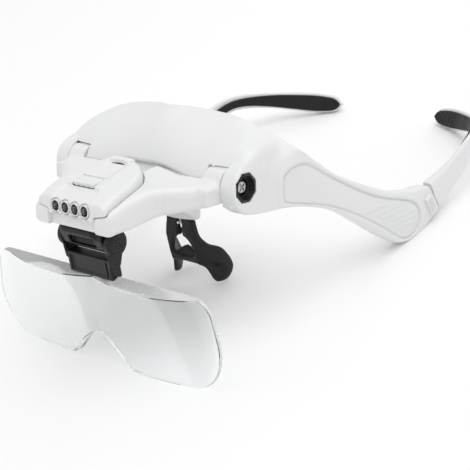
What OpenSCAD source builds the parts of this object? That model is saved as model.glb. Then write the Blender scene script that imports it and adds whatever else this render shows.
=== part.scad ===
/* [Headband] */
// Distance between the inner faces of the two side cheeks
ear_gap_w = 87.6; // [86:0.2:90]
// Width of each side cheek, from its inner face to its outer face
cheek_w = 7.4; // [7:0.2:8.4]
// How far each arm flares outward between its cheek and its rear end
arm_flare = 24; // [20:1:28]
// Length of each arm, from the pivot back to its lowest corner
arm_len = 80; // [76:1:86]
// Drop from the pivot to the lowest corner of the arm
arm_drop = 34; // [31:1:37]
// Height of the brow, from its lower edge to its top edge
brow_h = 22; // [19:1:25]
// How far the brow's top edge lies behind its lower edge at the middle
brow_rake = 17; // [14:1:20]
// Wall of the headband shell at the brow
band_wall = 2.6; // [2.2:0.2:3.4]
// Thickness of the arms at their sockets
arm_t = 6.4; // [6:0.2:7.4]
// Depth of the seat for each arm panel
panel_recess = 1.2; // [1:0.1:1.6]
// Number of grip ribs on each arm panel
rib_count = 7; // [5:1:8]

/* [Pivot] */
// Pivot axis, distance behind the lamp's front face
pivot_y = 44; // [43.5:0.5:45]
// Pivot axis, height above the row of lights
pivot_z = 8.2; // [8:0.1:8.8]
// Radius of the pivot screw's shank
pivot_screw_r = 1.5; // [1.3:0.1:1.7]
// Radius across the corners of the octagonal bezel
bezel_r = 6; // [5.6:0.1:6.3]
// Depth of the bezel
bezel_depth = 5; // [4.6:0.2:5.2]

/* [Front frame] */
// Tilt of the beak, rear end up, in degrees
beak_tilt = 19; // [18:0.5:20]
// Depth of the beak's lower edge below the row of lights
beak_below = 10; // [9.5:0.1:10.4]
// Height of the frame's rim above the row of lights
beak_above = 1.2; // [1:0.1:1.6]
// Thickness of the frame's walls
frame_wall = 2.2; // [1.8:0.2:2.6]
// Half width of the gap between the two horns
horn_gap = 13.3; // [13.2:0.1:13.8]
// Half width of the frame across its horns
horn_w = 20.3; // [19.6:0.1:21]
// Distance of the nose pad behind the lamp's front face
nose_y = 61; // [60:1:63]

/* [Lamp] */
// Half width of the lamp across its wings
lamp_w = 16.8; // [16.4:0.1:17]
// Length of the lamp
lamp_len = 33; // [32:0.2:33.6]
// Height of the lamp's upper shell above the row of lights
lamp_h = 5.5; // [5.3:0.1:6]
// Wall of the lamp's shells
lamp_wall = 1.2; // [1:0.1:1.4]
// Distance between neighbouring lights
led_pitch = 5.5; // [5.2:0.1:5.8]
// Radius of each light
led_r = 1.5; // [1.4:0.05:1.6]
// Radius of the coin cells
cell_r = 6.25; // [5.8:0.05:6.3]
// Thickness of one coin cell
cell_t = 2.4; // [2:0.1:2.5]

/* [Lens and holder] */
// Half width of the lens at its widest
lens_w = 64; // [60:1:68]
// Height of the lens
lens_h = 38.6; // [37:0.2:42]
// Thickness of the lens at the middle of each half
lens_t = 7; // [6:0.5:7.5]
// Radius of the lens's convex faces
lens_face_r = 112; // [106:2:130]
// Backward lean of the lens, in degrees
lens_lean = 9.5; // [8:0.5:11]
// Half width of the lens holder's box
holder_w = 12.5; // [12.2:0.1:12.9]
// Radius of the holder's round cheeks
holder_cheek_r = 5.3; // [5:0.1:5.6]
// Radius of the hinge pin
pin_r = 1; // [0.9:0.05:1.2]

/* [Temple tips] */
// Thickness of a temple tip's white back
tip_t = 2.6; // [2.2:0.2:3]
// Thickness of a temple tip's rubber pad
pad_t = 1.8; // [1.4:0.2:2.2]
// Width of the tongue that plugs into the arm
tongue_w = 8; // [7:0.5:8.5]
// Length of the tongue
tongue_len = 15; // [13:1:16]
// Thickness of the tongue
tongue_t = 2.4; // [2:0.1:2.6]

/* [Hidden] */
$fn = 48;
eps = 0.01;

// Half gap between the cheeks and the outer face of a cheek
gap_h = ear_gap_w / 2;
cheek_x = gap_h + cheek_w;
// Room left between pieces that slide, and round a running pin
slide_gap = 0.3;
run_gap = 0.05;

// The arm's rear end, where the temple tip plugs in
tip_angle = 35;
arm_end_y = pivot_y + arm_len + 16;
arm_end_z = pivot_z + 1.1 - 0.52 * arm_drop;
arm_end_x = cheek_x + arm_flare - 0.2;
arm_end_h = 14;

// The lens's top rear edge, and the hinge of its holder
lens_y = 13;
lens_z = -27.3;
hinge_y = 10.8;
hinge_z = -13.4;
holder_lean = lens_lean + 3;

// The plane that the part rests on, through the lens's lower edge and the temple tips
rest_in = 1.2;
rest_front_y = lens_y - rest_in * cos(lens_lean) + lens_h * sin(lens_lean);
rest_front_z = lens_z - rest_in * sin(lens_lean) - lens_h * cos(lens_lean);
rest_rear_y = arm_end_y + 73.3;
rest_rear_z = arm_end_z + 18.5;
stand_angle = atan2(rest_rear_z - rest_front_z, rest_rear_y - rest_front_y);
rest_drop = -rest_front_y * sin(stand_angle) + rest_front_z * cos(stand_angle);
tip_end_y = arm_end_y + 75.6;
tip_end_z = arm_end_z + 22.3;
back_end = tip_end_y * cos(stand_angle) + tip_end_z * sin(stand_angle);
front_end = (rest_front_y - 4.06) * cos(stand_angle) + rest_front_z * sin(stand_angle);
mid_y = (back_end + front_end) / 2;

module stand() {
    translate([0, -mid_y, -rest_drop])
    rotate([-stand_angle, 0, 0])
    children();
}

module both_sides() {
    children();
    mirror([1, 0, 0])
    children();
}

// A round bar along X between two distances, centred on a height and depth
module x_bar(r, x0, x1, y, z) {
    translate([x0, y, z])
    rotate([0, 90, 0])
    cylinder(h = x1 - x0, r = r);
}

// A flat outline of depths and heights, drawn out along X
module x_slab(pts, x0, x1) {
    translate([x0, 0, 0])
    rotate([90, 0, 90])
    linear_extrude(x1 - x0)
    polygon(pts);
}

module beak() {
    rotate([beak_tilt, 0, 0])
    children();
}

module lens_place() {
    translate([0, lens_y, lens_z])
    rotate([lens_lean, 0, 0])
    children();
}

module tip_place() {
    translate([arm_end_x, arm_end_y, arm_end_z])
    rotate([tip_angle, 0, 0])
    children();
}

// Smooth curve through a list of points that has one spare point at each end
function blend(p, t) =
    let(i = min(floor(t), len(p) - 4), f = t - i)
    let(a = p[i], b = p[i + 1], c = p[i + 2], d = p[i + 3])
    b + 0.5 * f * ((c - a) + f * ((2 * a - 5 * b + 4 * c - d) + f * (3 * (b - c) + d - a)));
function flip(p) = [-p[0], p[1], p[2]];
function spare(p) = concat([flip(p[1])], p, [2 * p[len(p) - 1] - p[len(p) - 2]]);
function unit(v) = v / norm(v);

// A point of the brow: distance from the middle, depth and height as parts of the brow's size
function brow(x, dy, dz) =
    [x * gap_h / 43.8, pivot_y - 4.4 + brow_rake * dy, pivot_z + 4.4 + brow_h * dz];
// A point of an arm: parts of the flare, of the length and of the drop
function arm(kx, ky, kz) =
    [cheek_x + kx * arm_flare, pivot_y - 3.5 + ky * arm_len, pivot_z + 1.1 - kz * arm_drop];
function arm_end(h) =
    [arm_end_x, arm_end_y - h * sin(tip_angle), arm_end_z + h * cos(tip_angle)];

// Lower edge, waist and top edge of the headband from the middle of the brow to an arm's end
low_edge = spare([
    brow(0, -0.02, 0.02), brow(10, 0, 0), brow(25, 0, -0.14), brow(35, -0.06, -0.16),
    brow(44, 0, -0.4), arm(-0.07, 0.01, 0.25), arm(0.01, 0.1, 0.36), arm(0.3, 0.28, 0.32),
    arm(0.51, 0.42, 0.36), arm(0.66, 0.56, 0.48), arm(0.85, 0.86, 0.88), arm(0.91, 1, 1),
    arm(0.95, 1.15, 0.92), arm_end(-7)
]);
waist = spare([
    brow(0, 0.26, 0.61), brow(10, 0.28, 0.59), brow(25.5, 0.32, 0.52), brow(35.5, 0.38, 0.5),
    brow(45, 0.41, 0.43), arm(0.01, 0.08, -0.28), arm(0.03, 0.14, -0.11),
    arm(0.34, 0.29, -0.05), arm(0.57, 0.42, 0.08), arm(0.69, 0.56, 0.25),
    arm(0.87, 0.87, 0.58), arm(0.95, 1.02, 0.69), arm(1, 1.14, 0.63),
    arm_end(0) + [0.5, 0, 0]
]);
top_edge = spare([
    brow(0, 0.965, 1), brow(10, 1.17, 0.98), brow(25, 1.39, 0.9), brow(33.5, 1.4, 0.83),
    brow(41.5, 1.41, 0.71), brow(48, 1.49, 0.6), arm(0.1, 0.32, -0.42),
    arm(0.37, 0.34, -0.33), arm(0.49, 0.44, -0.15), arm(0.62, 0.56, 0.03),
    arm(0.81, 0.87, 0.3), arm(0.89, 1.06, 0.37), arm(0.92, 1.13, 0.36),
    arm_end(7) - [0.6, 0, 0]
]);
end_s = 13;

function skin(s, v) =
    (1 - v) * (1 - v) * blend(low_edge, s) + 2 * v * (1 - v) * blend(waist, s)
    + v * v * blend(top_edge, s);
// Direction from the skin toward the wearer's head
function inward(p) =
    let(f = min(1, max(0, (p[1] - 75) / 12)), low = -5 + f * (p[2] + 5))
    unit([0, max(75, p[1]), low] - p);
function wall_t(s) = lookup(s, [[0, band_wall], [6, band_wall], [8, 3.6], [10, arm_t]]);

// Ring of points round the headband's cross-section at one station
function ring(s, n, o0, o1) = concat(
    [for (k = [0:n]) let(p = skin(s, k / n)) p + o0 * inward(p)],
    [for (k = [n:-1:0]) let(p = skin(s, k / n)) p + o1 * inward(p)]
);

// Closed body through a list of rings that all have the same number of points
module loft(rings, n) {
    m = 2 * n + 2;
    c = len(rings);
    side = [
        for (j = [0:c - 2], k = [0:m - 1], h = [0, 1])
        let(a = j * m + k, b = j * m + (k + 1) % m)
        h == 0 ? [a, b, b + m] : [a, b + m, a + m]
    ];
    caps = [
        for (e = [0, c - 1], k = [0:n - 1], h = [0, 1])
        let(a = e * m + k, b = e * m + m - 1 - k)
        let(q = h == 0 ? [a, b, b - 1] : [a, b - 1, a + 1])
        e == 0 ? q : [q[2], q[1], q[0]]
    ];
    polyhedron([for (r = rings) each r], concat(side, caps), convexity = 10);
}

// Layer of the headband's skin between two stations, counted in thirds
module skin_layer(k0, k1, o0, o1) {
    loft([for (i = [k0:k1]) ring(i / 3, 8, o0, o1)], 8);
}

// Outline of the panel set into each arm
panel_pts = [
    [60.5, 0.2], [59.8, 2], [60, 9.6], [61.8, 12.7], [64.9, 14.9], [68.1, 15.8],
    [71, 14.6], [79.6, 8.8], [94.1, 1.6], [106.8, -3.4], [125, -6.9], [129.6, -10],
    [131, -15], [129.7, -20], [126, -22.8], [121.8, -23.2], [117.2, -21.8],
    [109.7, -17.1], [100.6, -12.1], [87.8, -6], [76.6, -2], [67.2, -0.6]
];
module panel_form(grow, x0, x1) {
    translate([x0, pivot_y - 3.5, pivot_z + 1.1])
    rotate([90, 0, 90])
    linear_extrude(x1 - x0)
    scale([arm_len / 80, arm_drop / 34])
    offset(grow)
    translate([-40.5, -9.3])
    polygon(panel_pts);
}

module cheek() {
    hull() {
        x_bar(8.3, gap_h, cheek_x - 3, pivot_y + 2, pivot_z - 0.6);
        x_bar(7.4, gap_h, cheek_x - 1, pivot_y + 2, pivot_z - 0.6);
        x_bar(6.2, gap_h, cheek_x, pivot_y + 2, pivot_z - 0.6);
        translate([gap_h, pivot_y + 8, pivot_z - 10.4])
        cube([cheek_w - 0.2, 1, 15]);
    }
}

module octagon_bar(r, x0, x1) {
    translate([x0, pivot_y, pivot_z])
    rotate([0, 90, 0])
    rotate(22.5)
    cylinder(h = x1 - x0, r = r, $fn = 8);
}

bezel_x = cheek_x + 0.2 - bezel_depth;

module headband() {
    color("white")
    stand()
    difference() {
        union() {
            loft([for (i = [-39:39]) let(s = abs(i) / 3, r = ring(s, 8, 0, wall_t(s)))
                [for (p = r) i < 0 ? flip(p) : p]], 8);
            both_sides() cheek();
        }
        // room for the front frame's hinge barrels and rear edge
        both_sides() translate([gap_h - 10, pivot_y - 12, pivot_z - 20])
        cube([10, 21, 27.3]);
        x_bar(6.6, -17, 17, pivot_y, pivot_z);
        both_sides() {
            octagon_bar(bezel_r + 0.1, bezel_x, cheek_x + 3);
            x_bar(pivot_screw_r, gap_h - 1, cheek_x, pivot_y, pivot_z);
            intersection() {
                panel_form(0.35, cheek_x - 8, cheek_x + arm_flare + 8);
                skin_layer(17, 38, -2, panel_recess);
            }
            tip_place() {
                translate([-5.65, -tongue_len - 0.5, -tongue_w / 2 - slide_gap])
                cube([tongue_t + 0.3, tongue_len + 2, tongue_w + 2 * slide_gap]);
                translate([-3.4, -6.3, -4.8])
                cube([7, 4.6, 9.6]);
            }
        }
        // flat under each arm's corner
        translate([0, rest_rear_y, rest_rear_z])
        rotate([stand_angle, 0, 0])
        translate([-100, -140, -10])
        cube([200, 100, 10]);
    }
}

module bezel() {
    difference() {
        octagon_bar(bezel_r, bezel_x, bezel_x + bezel_depth);
        x_bar(4.5, bezel_x + 3.6, cheek_x + 3, pivot_y, pivot_z);
        x_bar(4, bezel_x + 2.6, cheek_x + 3, pivot_y, pivot_z);
        x_bar(3.4, bezel_x + 1.2, cheek_x + 3, pivot_y, pivot_z);
        x_bar(pivot_screw_r, bezel_x - 1, cheek_x, pivot_y, pivot_z);
    }
}

module pivot_bezel_left() {
    color("#262626") stand() bezel();
}

module pivot_bezel_right() {
    color("#262626") stand() mirror([1, 0, 0]) bezel();
}

module pivot_screws() {
    color("silver")
    stand()
    both_sides()
    difference() {
        union() {
            x_bar(pivot_screw_r, gap_h - 7.6, bezel_x + 1.3, pivot_y, pivot_z);
            x_bar(2.6, bezel_x + 1.2, bezel_x + 2.8, pivot_y, pivot_z);
        }
        for (a = [0, 90])
            translate([bezel_x + 2.4, pivot_y, pivot_z])
            rotate([a + 45, 0, 0])
            translate([-0.4, -1.7, -0.35])
            cube([2, 3.4, 0.7]);
    }
}

module pivot_nuts() {
    color("silver")
    stand()
    both_sides()
    difference() {
        translate([gap_h - 7.2, pivot_y, pivot_z])
        rotate([0, 90, 0])
        cylinder(h = 2.2, r = 3.1, $fn = 6);
        x_bar(pivot_screw_r, gap_h - 8, gap_h, pivot_y, pivot_z);
    }
}

module pivot_washers() {
    color("#303030")
    stand()
    both_sides()
    for (x = [gap_h - 5, gap_h - 0.4])
        difference() {
            x_bar(3.2, x, x + 0.4, pivot_y, pivot_z);
            x_bar(pivot_screw_r + run_gap, x - 1, x + 1, pivot_y, pivot_z);
        }
}

// Distance from one grip rib to the next
rib_step = 17 / rib_count;

module arm_panel() {
    intersection() {
        panel_form(0, cheek_x - 8, cheek_x + arm_flare + 8);
        union() {
            skin_layer(17, 38, 0, panel_recess);
            intersection() {
                skin_layer(27, 38, -0.45, 0.5);
                panel_form(-3, cheek_x - 8, cheek_x + arm_flare + 8);
                translate([cheek_x, pivot_y + 0.75 * arm_len, pivot_z - 0.46 * arm_drop])
                rotate([9, 0, 0])
                for (i = [0:rib_count - 1])
                    translate([0, -40, -0.55 - i * rib_step])
                    cube([arm_flare + 8, 80, 1.1]);
            }
        }
    }
}

module arm_panel_left() {
    color("#f0f0f0") stand() arm_panel();
}

module arm_panel_right() {
    color("#f0f0f0") stand() mirror([1, 0, 0]) arm_panel();
}

// Half outline of the front frame seen from above
frame_half = [
    [horn_gap, -1.8], [horn_w - 1.2, -1.8], [horn_w, -0.8], [22, 7], [24.5, 14],
    [26.5, 19.5], [28.5, 22], [32, 24.5], [gap_h - 6, 28.5], [gap_h - 1.6, 32],
    [gap_h - 0.4, 35], [gap_h - 0.4, pivot_y]
];
module frame_plan() {
    polygon(concat([[horn_gap, 2.2]], frame_half, [[0, pivot_y], [0, 2.2]]));
    mirror([1, 0])
    polygon(concat([[horn_gap, 2.2]], frame_half, [[0, pivot_y], [0, 2.2]]));
}

// Outline of the lamp seen square to its top, grown or shrunk all round
module lamp_plan(grow) {
    offset(grow)
    polygon([
        [-lamp_w, -3], [lamp_w, -3], [lamp_w, 17], [lamp_w - 1.4, 22.4],
        [lamp_w - 4.6, 27.6], [lamp_w - 8.8, 31.4], [4, lamp_len], [-4, lamp_len],
        [8.8 - lamp_w, 31.4], [4.6 - lamp_w, 27.6], [1.4 - lamp_w, 22.4], [-lamp_w, 17]
    ]);
}

module front_frame() {
    color("white")
    stand()
    difference() {
        union() {
            intersection() {
                translate([0, 0, -40])
                linear_extrude(80)
                frame_plan();
                union() {
                    beak()
                    x_slab([
                        [-12, -beak_below], [36, -beak_below], [39, -beak_below + 1.5],
                        [39, -3.7], [35, -3.7], [30, -1.4], [24, 0.6], [17, beak_above],
                        [4, beak_above - 0.6], [-12, beak_above - 0.6]
                    ], -60, 60);
                    beak()
                    x_slab([
                        [26, -6], [42, -6], [42, -0.8], [30, beak_above + 0.2],
                        [26, beak_above]
                    ], -17.4, 17.4);
                }
            }
            // rounded rear edge under the brow, and the two hinge barrels
            x_bar(6.2, -16.6, 16.6, pivot_y, pivot_z);
            both_sides() x_bar(6.6, gap_h - 9.6, gap_h - 0.4, pivot_y, pivot_z);
            both_sides() translate([gap_h - 9.6, pivot_y - 13, pivot_z - 6.6])
            cube([9.2, 13, 6.6]);
            // arm to the nose pad
            hull() {
                translate([-9.5, pivot_y - 9, pivot_z - 7])
                cube([19, 6, 3]);
                translate([-9.5, pivot_y + 2.5, pivot_z - 14.4])
                cube([19, 3, 3]);
            }
            hull() {
                translate([-9.5, pivot_y + 2.5, pivot_z - 14.4])
                cube([19, 3, 3]);
                translate([-8, nose_y - 3.2, -14])
                cube([16, 6.4, 3]);
            }
        }
        // bay for the lamp, open at the front
        beak() {
            translate([0, 0, -lamp_floor - slide_gap])
            linear_extrude(30)
            intersection() {
                lamp_plan(slide_gap);
                translate([-horn_gap, -20])
                square([2 * horn_gap, 60]);
            }
            translate([0, 0, -1.9 - slide_gap])
            linear_extrude(30)
            union() {
                lamp_plan(slide_gap);
                translate([-lamp_w - slide_gap, -20])
                square([2 * lamp_w + 2 * slide_gap, 22]);
            }
        }
        // hollow underside, left solid over the hinge block
        difference() {
            intersection() {
                translate([0, 0, -40])
                linear_extrude(80)
                offset(delta = -frame_wall)
                frame_plan();
                beak()
                translate([-60, 0, -30])
                cube([120, 33.5, 30 - lamp_floor - frame_wall]);
            }
            translate([-horn_gap, -5, -30])
            cube([2 * horn_gap, 21, 60]);
        }
        translate([-horn_gap - 4, -5, -8.2 - 20])
        cube([2 * horn_gap + 8, 22, 20]);
        // grooves that the brow's lower edge moves in
        difference() {
            x_bar(8.5, -18, 18, pivot_y, pivot_z);
            x_bar(6.2, -19, 19, pivot_y, pivot_z);
            translate([-20, pivot_y - 12, pivot_z - 20.6])
            cube([40, 30, 22]);
        }
        both_sides() x_bar(6.4, 16.6, gap_h - 9.6, pivot_y, pivot_z);
        both_sides() x_bar(pivot_screw_r + run_gap, gap_h - 8, gap_h, pivot_y, pivot_z);
        both_sides() x_bar(3.6, gap_h - 12, gap_h - 4.6, pivot_y, pivot_z);
        // screws of the hinge block and of the nose pad
        for (x = [-8, 8])
            translate([x, 12.5, -9])
            cylinder(h = 4, r = 0.8);
        translate([0, nose_y, -15])
        cylinder(h = 4, r = 0.8);
    }
}

// Height of the lamp's floor below the row of lights
lamp_floor = 3.5;

// Point of the nose pad: distance from the middle, behind its seat, and height
module pad_ball(x, dy, z, r) {
    translate([x, nose_y + dy, z])
    sphere(r = r, $fn = 16);
}

module nose_pad() {
    color("#1e1e1e")
    stand()
    difference() {
        union() {
            hull() {
                translate([-7.8, nose_y - 1.4, -15])
                cube([15.6, 2.8, 1]);
                translate([-7.6, nose_y + 1.2, -31])
                cube([15.2, 2.6, 1]);
            }
            hull() {
                translate([-8, nose_y + 1.2, -33])
                cube([16, 3.4, 5]);
                translate([-9, nose_y + 3, -34.5])
                cube([18, 2.4, 2]);
            }
            both_sides()
            hull() {
                pad_ball(6.6, 2.6, -25, 1.2);
                pad_ball(9.2, 6.2, -36.6, 1.4);
                pad_ball(12, 10, -40.2, 1.4);
                pad_ball(14.6, 14.2, -38.5, 1.4);
                pad_ball(14.8, 14.4, -32, 1.4);
                pad_ball(12.4, 10.2, -28.4, 1.4);
            }
        }
        // window in the stem
        translate([0, nose_y + 10, 0])
        rotate([90, 0, 0])
        linear_extrude(20)
        polygon([[-1.4, -22.4], [1.4, -22.4], [3.4, -25], [5.4, -30.6], [0, -27.8],
                 [-5.4, -30.6], [-3.4, -25]]);
        translate([0, nose_y, -30])
        cylinder(h = 20, r = 0.8);
        translate([0, nose_y, -30])
        cylinder(h = 14, r = 1.8);
    }
}

module nose_pad_screw() {
    color("silver")
    stand()
    translate([0, nose_y, 0])
    union() {
        translate([0, 0, -16])
        cylinder(h = 4.9, r = 0.8);
        translate([0, 0, -17])
        cylinder(h = 1, r = 1.7);
    }
}

module hinge_block() {
    color("#262626")
    stand()
    difference() {
        union() {
            x_slab([
                [4.2, -8.2], [15.6, -8.2], [15.6, -12], [14.8, -16], [6.8, -16], [4.6, -12]
            ], -11.9, 11.9);
            x_bar(4.5, -11.9, 11.9, hinge_y, hinge_z);
            x_bar(1.8, -8.4, 8.4, 4.3, -10);
        }
        x_bar(pin_r + run_gap, -13, 13, hinge_y, hinge_z);
        for (x = [-8, 8])
            translate([x, 12.5, -8.7 - 12])
            cylinder(h = 14, r = 1);
        for (x = [-8, 8])
            translate([x, 12.5, -10.3 - 12])
            cylinder(h = 12, r = 1.9);
        // finger rebate across the front
        translate([-7.5, 0, -15.4])
        cube([15, 8, 2.6]);
    }
}

module block_screws() {
    color("silver")
    stand()
    for (x = [-8, 8])
        translate([x, 12.5, 0])
        union() {
            translate([0, 0, -10.3])
            cylinder(h = 5.2, r = 0.8);
            translate([0, 0, -11.5])
            cylinder(h = 1.2, r = 1.7);
        }
}

// Box of the lens holder, grown all round
module holder_box(grow) {
    translate([0, 8.1, -20.3])
    rotate([holder_lean, 0, 0])
    translate([-holder_w - grow, -grow, -9 - grow])
    cube([2 * holder_w + 2 * grow, 5.5 + 2 * grow, 9 + 2 * grow]);
}

module lens_holder() {
    color("#262626")
    stand()
    difference() {
        union() {
            holder_box(0);
            both_sides() {
                x_bar(holder_cheek_r, 12.2, 14.6, hinge_y, hinge_z);
                x_bar(holder_cheek_r - 1.3, 12.2, 14.9, hinge_y, hinge_z);
                hull() {
                    x_bar(holder_cheek_r - 0.2, 12.2, 13.4, hinge_y, hinge_z);
                    translate([12.2, 8.6, -23])
                    cube([holder_w - 12.2, 5, 1]);
                }
            }
        }
        x_bar(pin_r, -14.2, 14.2, hinge_y, hinge_z);
        lens_place()
        translate([-9.2, -2.3, -4])
        cube([18.4, 2.4, 9.8]);
        // recessed front panel
        translate([0, 8.1, -20.3])
        rotate([holder_lean, 0, 0])
        for (x = [-10.9, 9.7])
            translate([x, -1, -8])
            cube([1.2, 1.5, 7]);
    }
}

module hinge_pin() {
    color("silver") stand() x_bar(pin_r, -14.2, 14.2, hinge_y, hinge_z);
}

// One half of the lens outline, from the middle outward
module lens_lobe() {
    hull() {
        translate([lens_w - 11, -11]) circle(11);
        translate([lens_w - 20, -20]) circle(20);
        translate([lens_w * 0.55, 2 - lens_h + 30]) circle(32);
        translate([22, 5 - lens_h]) circle(5);
        translate([0, -26]) square([8, 26]);
    }
}

module lens() {
    color([0.86, 0.88, 0.88, 0.6])
    stand()
    difference() {
        union() {
            difference() {
                lens_place()
                intersection() {
                    rotate([90, 0, 0])
                    linear_extrude(12)
                    difference() {
                        intersection() {
                            union() {
                                lens_lobe();
                                mirror([1, 0]) lens_lobe();
                            }
                            translate([-80, -lens_h]) square([160, lens_h]);
                        }
                        polygon([[-17, -lens_h - 1], [-16, -38], [-12, -32.5], [-6, -28],
                                 [-2, -25.6], [2, -25.6], [6, -28], [12, -32.5], [16, -38],
                                 [17, -lens_h - 1]]);
                    }
                    union() {
                        for (side = [-1, 1])
                            translate([side * 25, lens_face_r - lens_t, -19])
                            sphere(r = lens_face_r, $fn = 180);
                    }
                    // top edge that falls toward the front
                    rotate([22, 0, 0])
                    translate([-80, -30, -60])
                    cube([160, 60, 60]);
                }
                holder_box(0.15);
            }
            // tab that plugs into the holder
            lens_place()
            translate([-9, -2.2, -5])
            cube([18, 2.2, 10.5]);
        }
        translate([0, rest_front_y, rest_front_z])
        rotate([stand_angle, 0, 0])
        translate([-100, -40, -10])
        cube([200, 80, 10]);
    }
}

// Solid form of the lamp, grown by a margin; its front is cut square to the lights
module lamp_form(grow) {
    intersection() {
        beak()
        translate([0, 0, -9])
        linear_extrude(20)
        lamp_plan(grow);
        beak()
        translate([0, 40, 0])
        rotate([90, 0, 0])
        linear_extrude(60)
        polygon([
            [-lamp_w - grow, -1.9 - grow], [-12.9 - grow, -1.9 - grow],
            [-12.9 - grow, -lamp_floor - grow], [12.9 + grow, -lamp_floor - grow],
            [12.9 + grow, -1.9 - grow], [lamp_w + grow, -1.9 - grow],
            [lamp_w + grow, 3.6 + grow], [lamp_w - 2.5, lamp_h - 0.5 + grow],
            [6.9, lamp_h + grow], [-6.9, lamp_h + grow],
            [2.5 - lamp_w, lamp_h - 0.5 + grow], [-lamp_w - grow, 3.6 + grow]
        ]);
        translate([-40, -grow, -20])
        cube([80, 60, 60]);
    }
}

module above_split(z0, z1) {
    beak()
    translate([-40, -20, z0])
    cube([80, 80, z1 - z0]);
}

led_xs = [for (i = [-1.5:1:1.5]) i * led_pitch];
// Place of the two screws that hold the lamp's shells together
boss_x = lamp_w - 3.9;
boss_b = 19;

// Room for a boss, or the boss itself, between two heights
module lamp_bosses(r, z0, z1) {
    beak()
    for (x = [-boss_x, boss_x])
        translate([x, boss_b, z0])
        cylinder(h = z1 - z0, r = r);
}

module lamp_upper_shell() {
    color("white")
    stand()
    difference() {
        intersection() {
            lamp_form(0);
            above_split(0.9, 20);
        }
        difference() {
            intersection() {
                lamp_form(-lamp_wall);
                above_split(-1, lamp_h - lamp_wall);
                translate([-40, 2.4, -20])
                cube([80, 60, 60]);
            }
            lamp_bosses(1.8, 0, 10);
        }
        lamp_bosses(0.8, 0, 3.5);
        // seats of the switch button and of the battery cover
        beak()
        translate([-6.3, 9.4, 0])
        cube([12.6, 5.9, 20]);
        beak()
        translate([-6.5, 15.9, 0])
        cube([13, lamp_len - 18.6, 20]);
        beak()
        translate([-7.2, 15.9, lamp_h - 1.1])
        cube([14.4, 30, 20]);
        // scalloped pockets over the lights
        for (x = led_xs)
            translate([x, 1.2, 0])
            rotate([90, 0, 0])
            cylinder(h = 4, r = 2.65);
        for (x = led_xs)
            translate([x, 3.05, 0])
            rotate([90, 0, 0])
            cylinder(h = 5, r = led_r + 0.7);
        for (x = led_xs)
            translate([x, 4.4, 0])
            rotate([90, 0, 0])
            cylinder(h = 5, r = led_r + 0.1);
    }
}

module lamp_lower_shell() {
    color("white")
    stand()
    difference() {
        intersection() {
            lamp_form(0);
            above_split(-9, 0.9);
        }
        difference() {
            intersection() {
                lamp_form(-lamp_wall);
                translate([-40, 2.4, -20])
                cube([80, 60, 60]);
            }
            lamp_bosses(1.8, -5, 5);
        }
        lamp_bosses(0.8, -5, 5);
        lamp_bosses(1.4, -5, -1.2);
        for (x = led_xs)
            translate([x, 1.2, 0])
            rotate([90, 0, 0])
            cylinder(h = 4, r = 2.65);
        for (x = led_xs)
            translate([x, 3.05, 0])
            rotate([90, 0, 0])
            cylinder(h = 5, r = led_r + 0.7);
        for (x = led_xs)
            translate([x, 4.4, 0])
            rotate([90, 0, 0])
            cylinder(h = 5, r = led_r + 0.1);
    }
}

module battery_cover() {
    color("white")
    stand()
    difference() {
        intersection() {
            union() {
                lamp_form(0.15);
            }
            beak()
            translate([-6.9, 16.1, lamp_h - 1.1])
            cube([13.8, 30, 20]);
        }
        // thumb recess
        beak()
        translate([0, 29.4, lamp_h + 4.6])
        scale([1.35, 0.7, 1])
        sphere(r = 5);
    }
}

module switch_button() {
    color("#f4f4f4")
    stand()
    beak()
    difference() {
        union() {
            translate([-6, 9.7, lamp_h - 1.2])
            cube([12, 5.3, 1.5]);
            translate([-1.2, 11, 4.1])
            cube([2.4, 2.4, lamp_h - 4.2 - 0.9]);
        }
    }
}

module switch_body() {
    color("#303030")
    stand()
    beak()
    translate([-3, 9.4, -1.15])
    cube([6, 4.6, 4.35]);
}

module lamp_leds() {
    color([0.9, 0.92, 0.95, 0.8])
    stand()
    for (x = led_xs)
        translate([x, 0, 0])
        union() {
            translate([0, 4.3, 0])
            rotate([90, 0, 0])
            cylinder(h = 3.3, r = led_r);
            translate([0, 1, 0])
            sphere(r = led_r, $fn = 24);
        }
}

module led_sleeves() {
    color("#202020")
    stand()
    for (x = led_xs)
        translate([x, 3, 0])
        rotate([90, 0, 0])
        difference() {
            cylinder(h = 2.4, r = led_r + 0.65);
            translate([0, 0, -1])
            cylinder(h = 6, r = led_r);
        }
}

module circuit_board() {
    color("#2c6b3c")
    stand()
    translate([-11.4, 5.3, -0.3])
    rotate([beak_tilt, 0, 0])
    cube([22.8, 9.4, 0.8]);
}

module coin_cells() {
    color("silver")
    stand()
    beak()
    for (i = [0, 1])
        translate([0, 22.9, i * cell_t - 1.6])
        union() {
            cylinder(h = cell_t - 0.3, r = cell_r);
            cylinder(h = cell_t - 0.05, r = cell_r - 0.8);
        }
}

module cell_contact_minus() {
    color("#c8b060")
    stand()
    beak()
    translate([-2, 15.6, -2.3])
    cube([4, 12, 0.7]);
}

module cell_contact_plus() {
    color("#c8b060")
    stand()
    beak()
    translate([-1.5, 15.7, 0])
    union() {
        translate([0, 0, -0.4])
        cube([3, 0.4, 2 * cell_t - 1.2]);
        translate([0, 0, 2 * cell_t - 1.6])
        cube([3, 4, 0.4]);
    }
}

module lamp_screws() {
    color("silver")
    stand()
    beak()
    for (x = [-boss_x, boss_x])
        translate([x, boss_b, 0])
        union() {
            translate([0, 0, -1.2])
            cylinder(h = 4.6, r = 0.8);
            translate([0, 0, -1.9])
            cylinder(h = 0.7, r = 1.4);
        }
}

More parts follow.
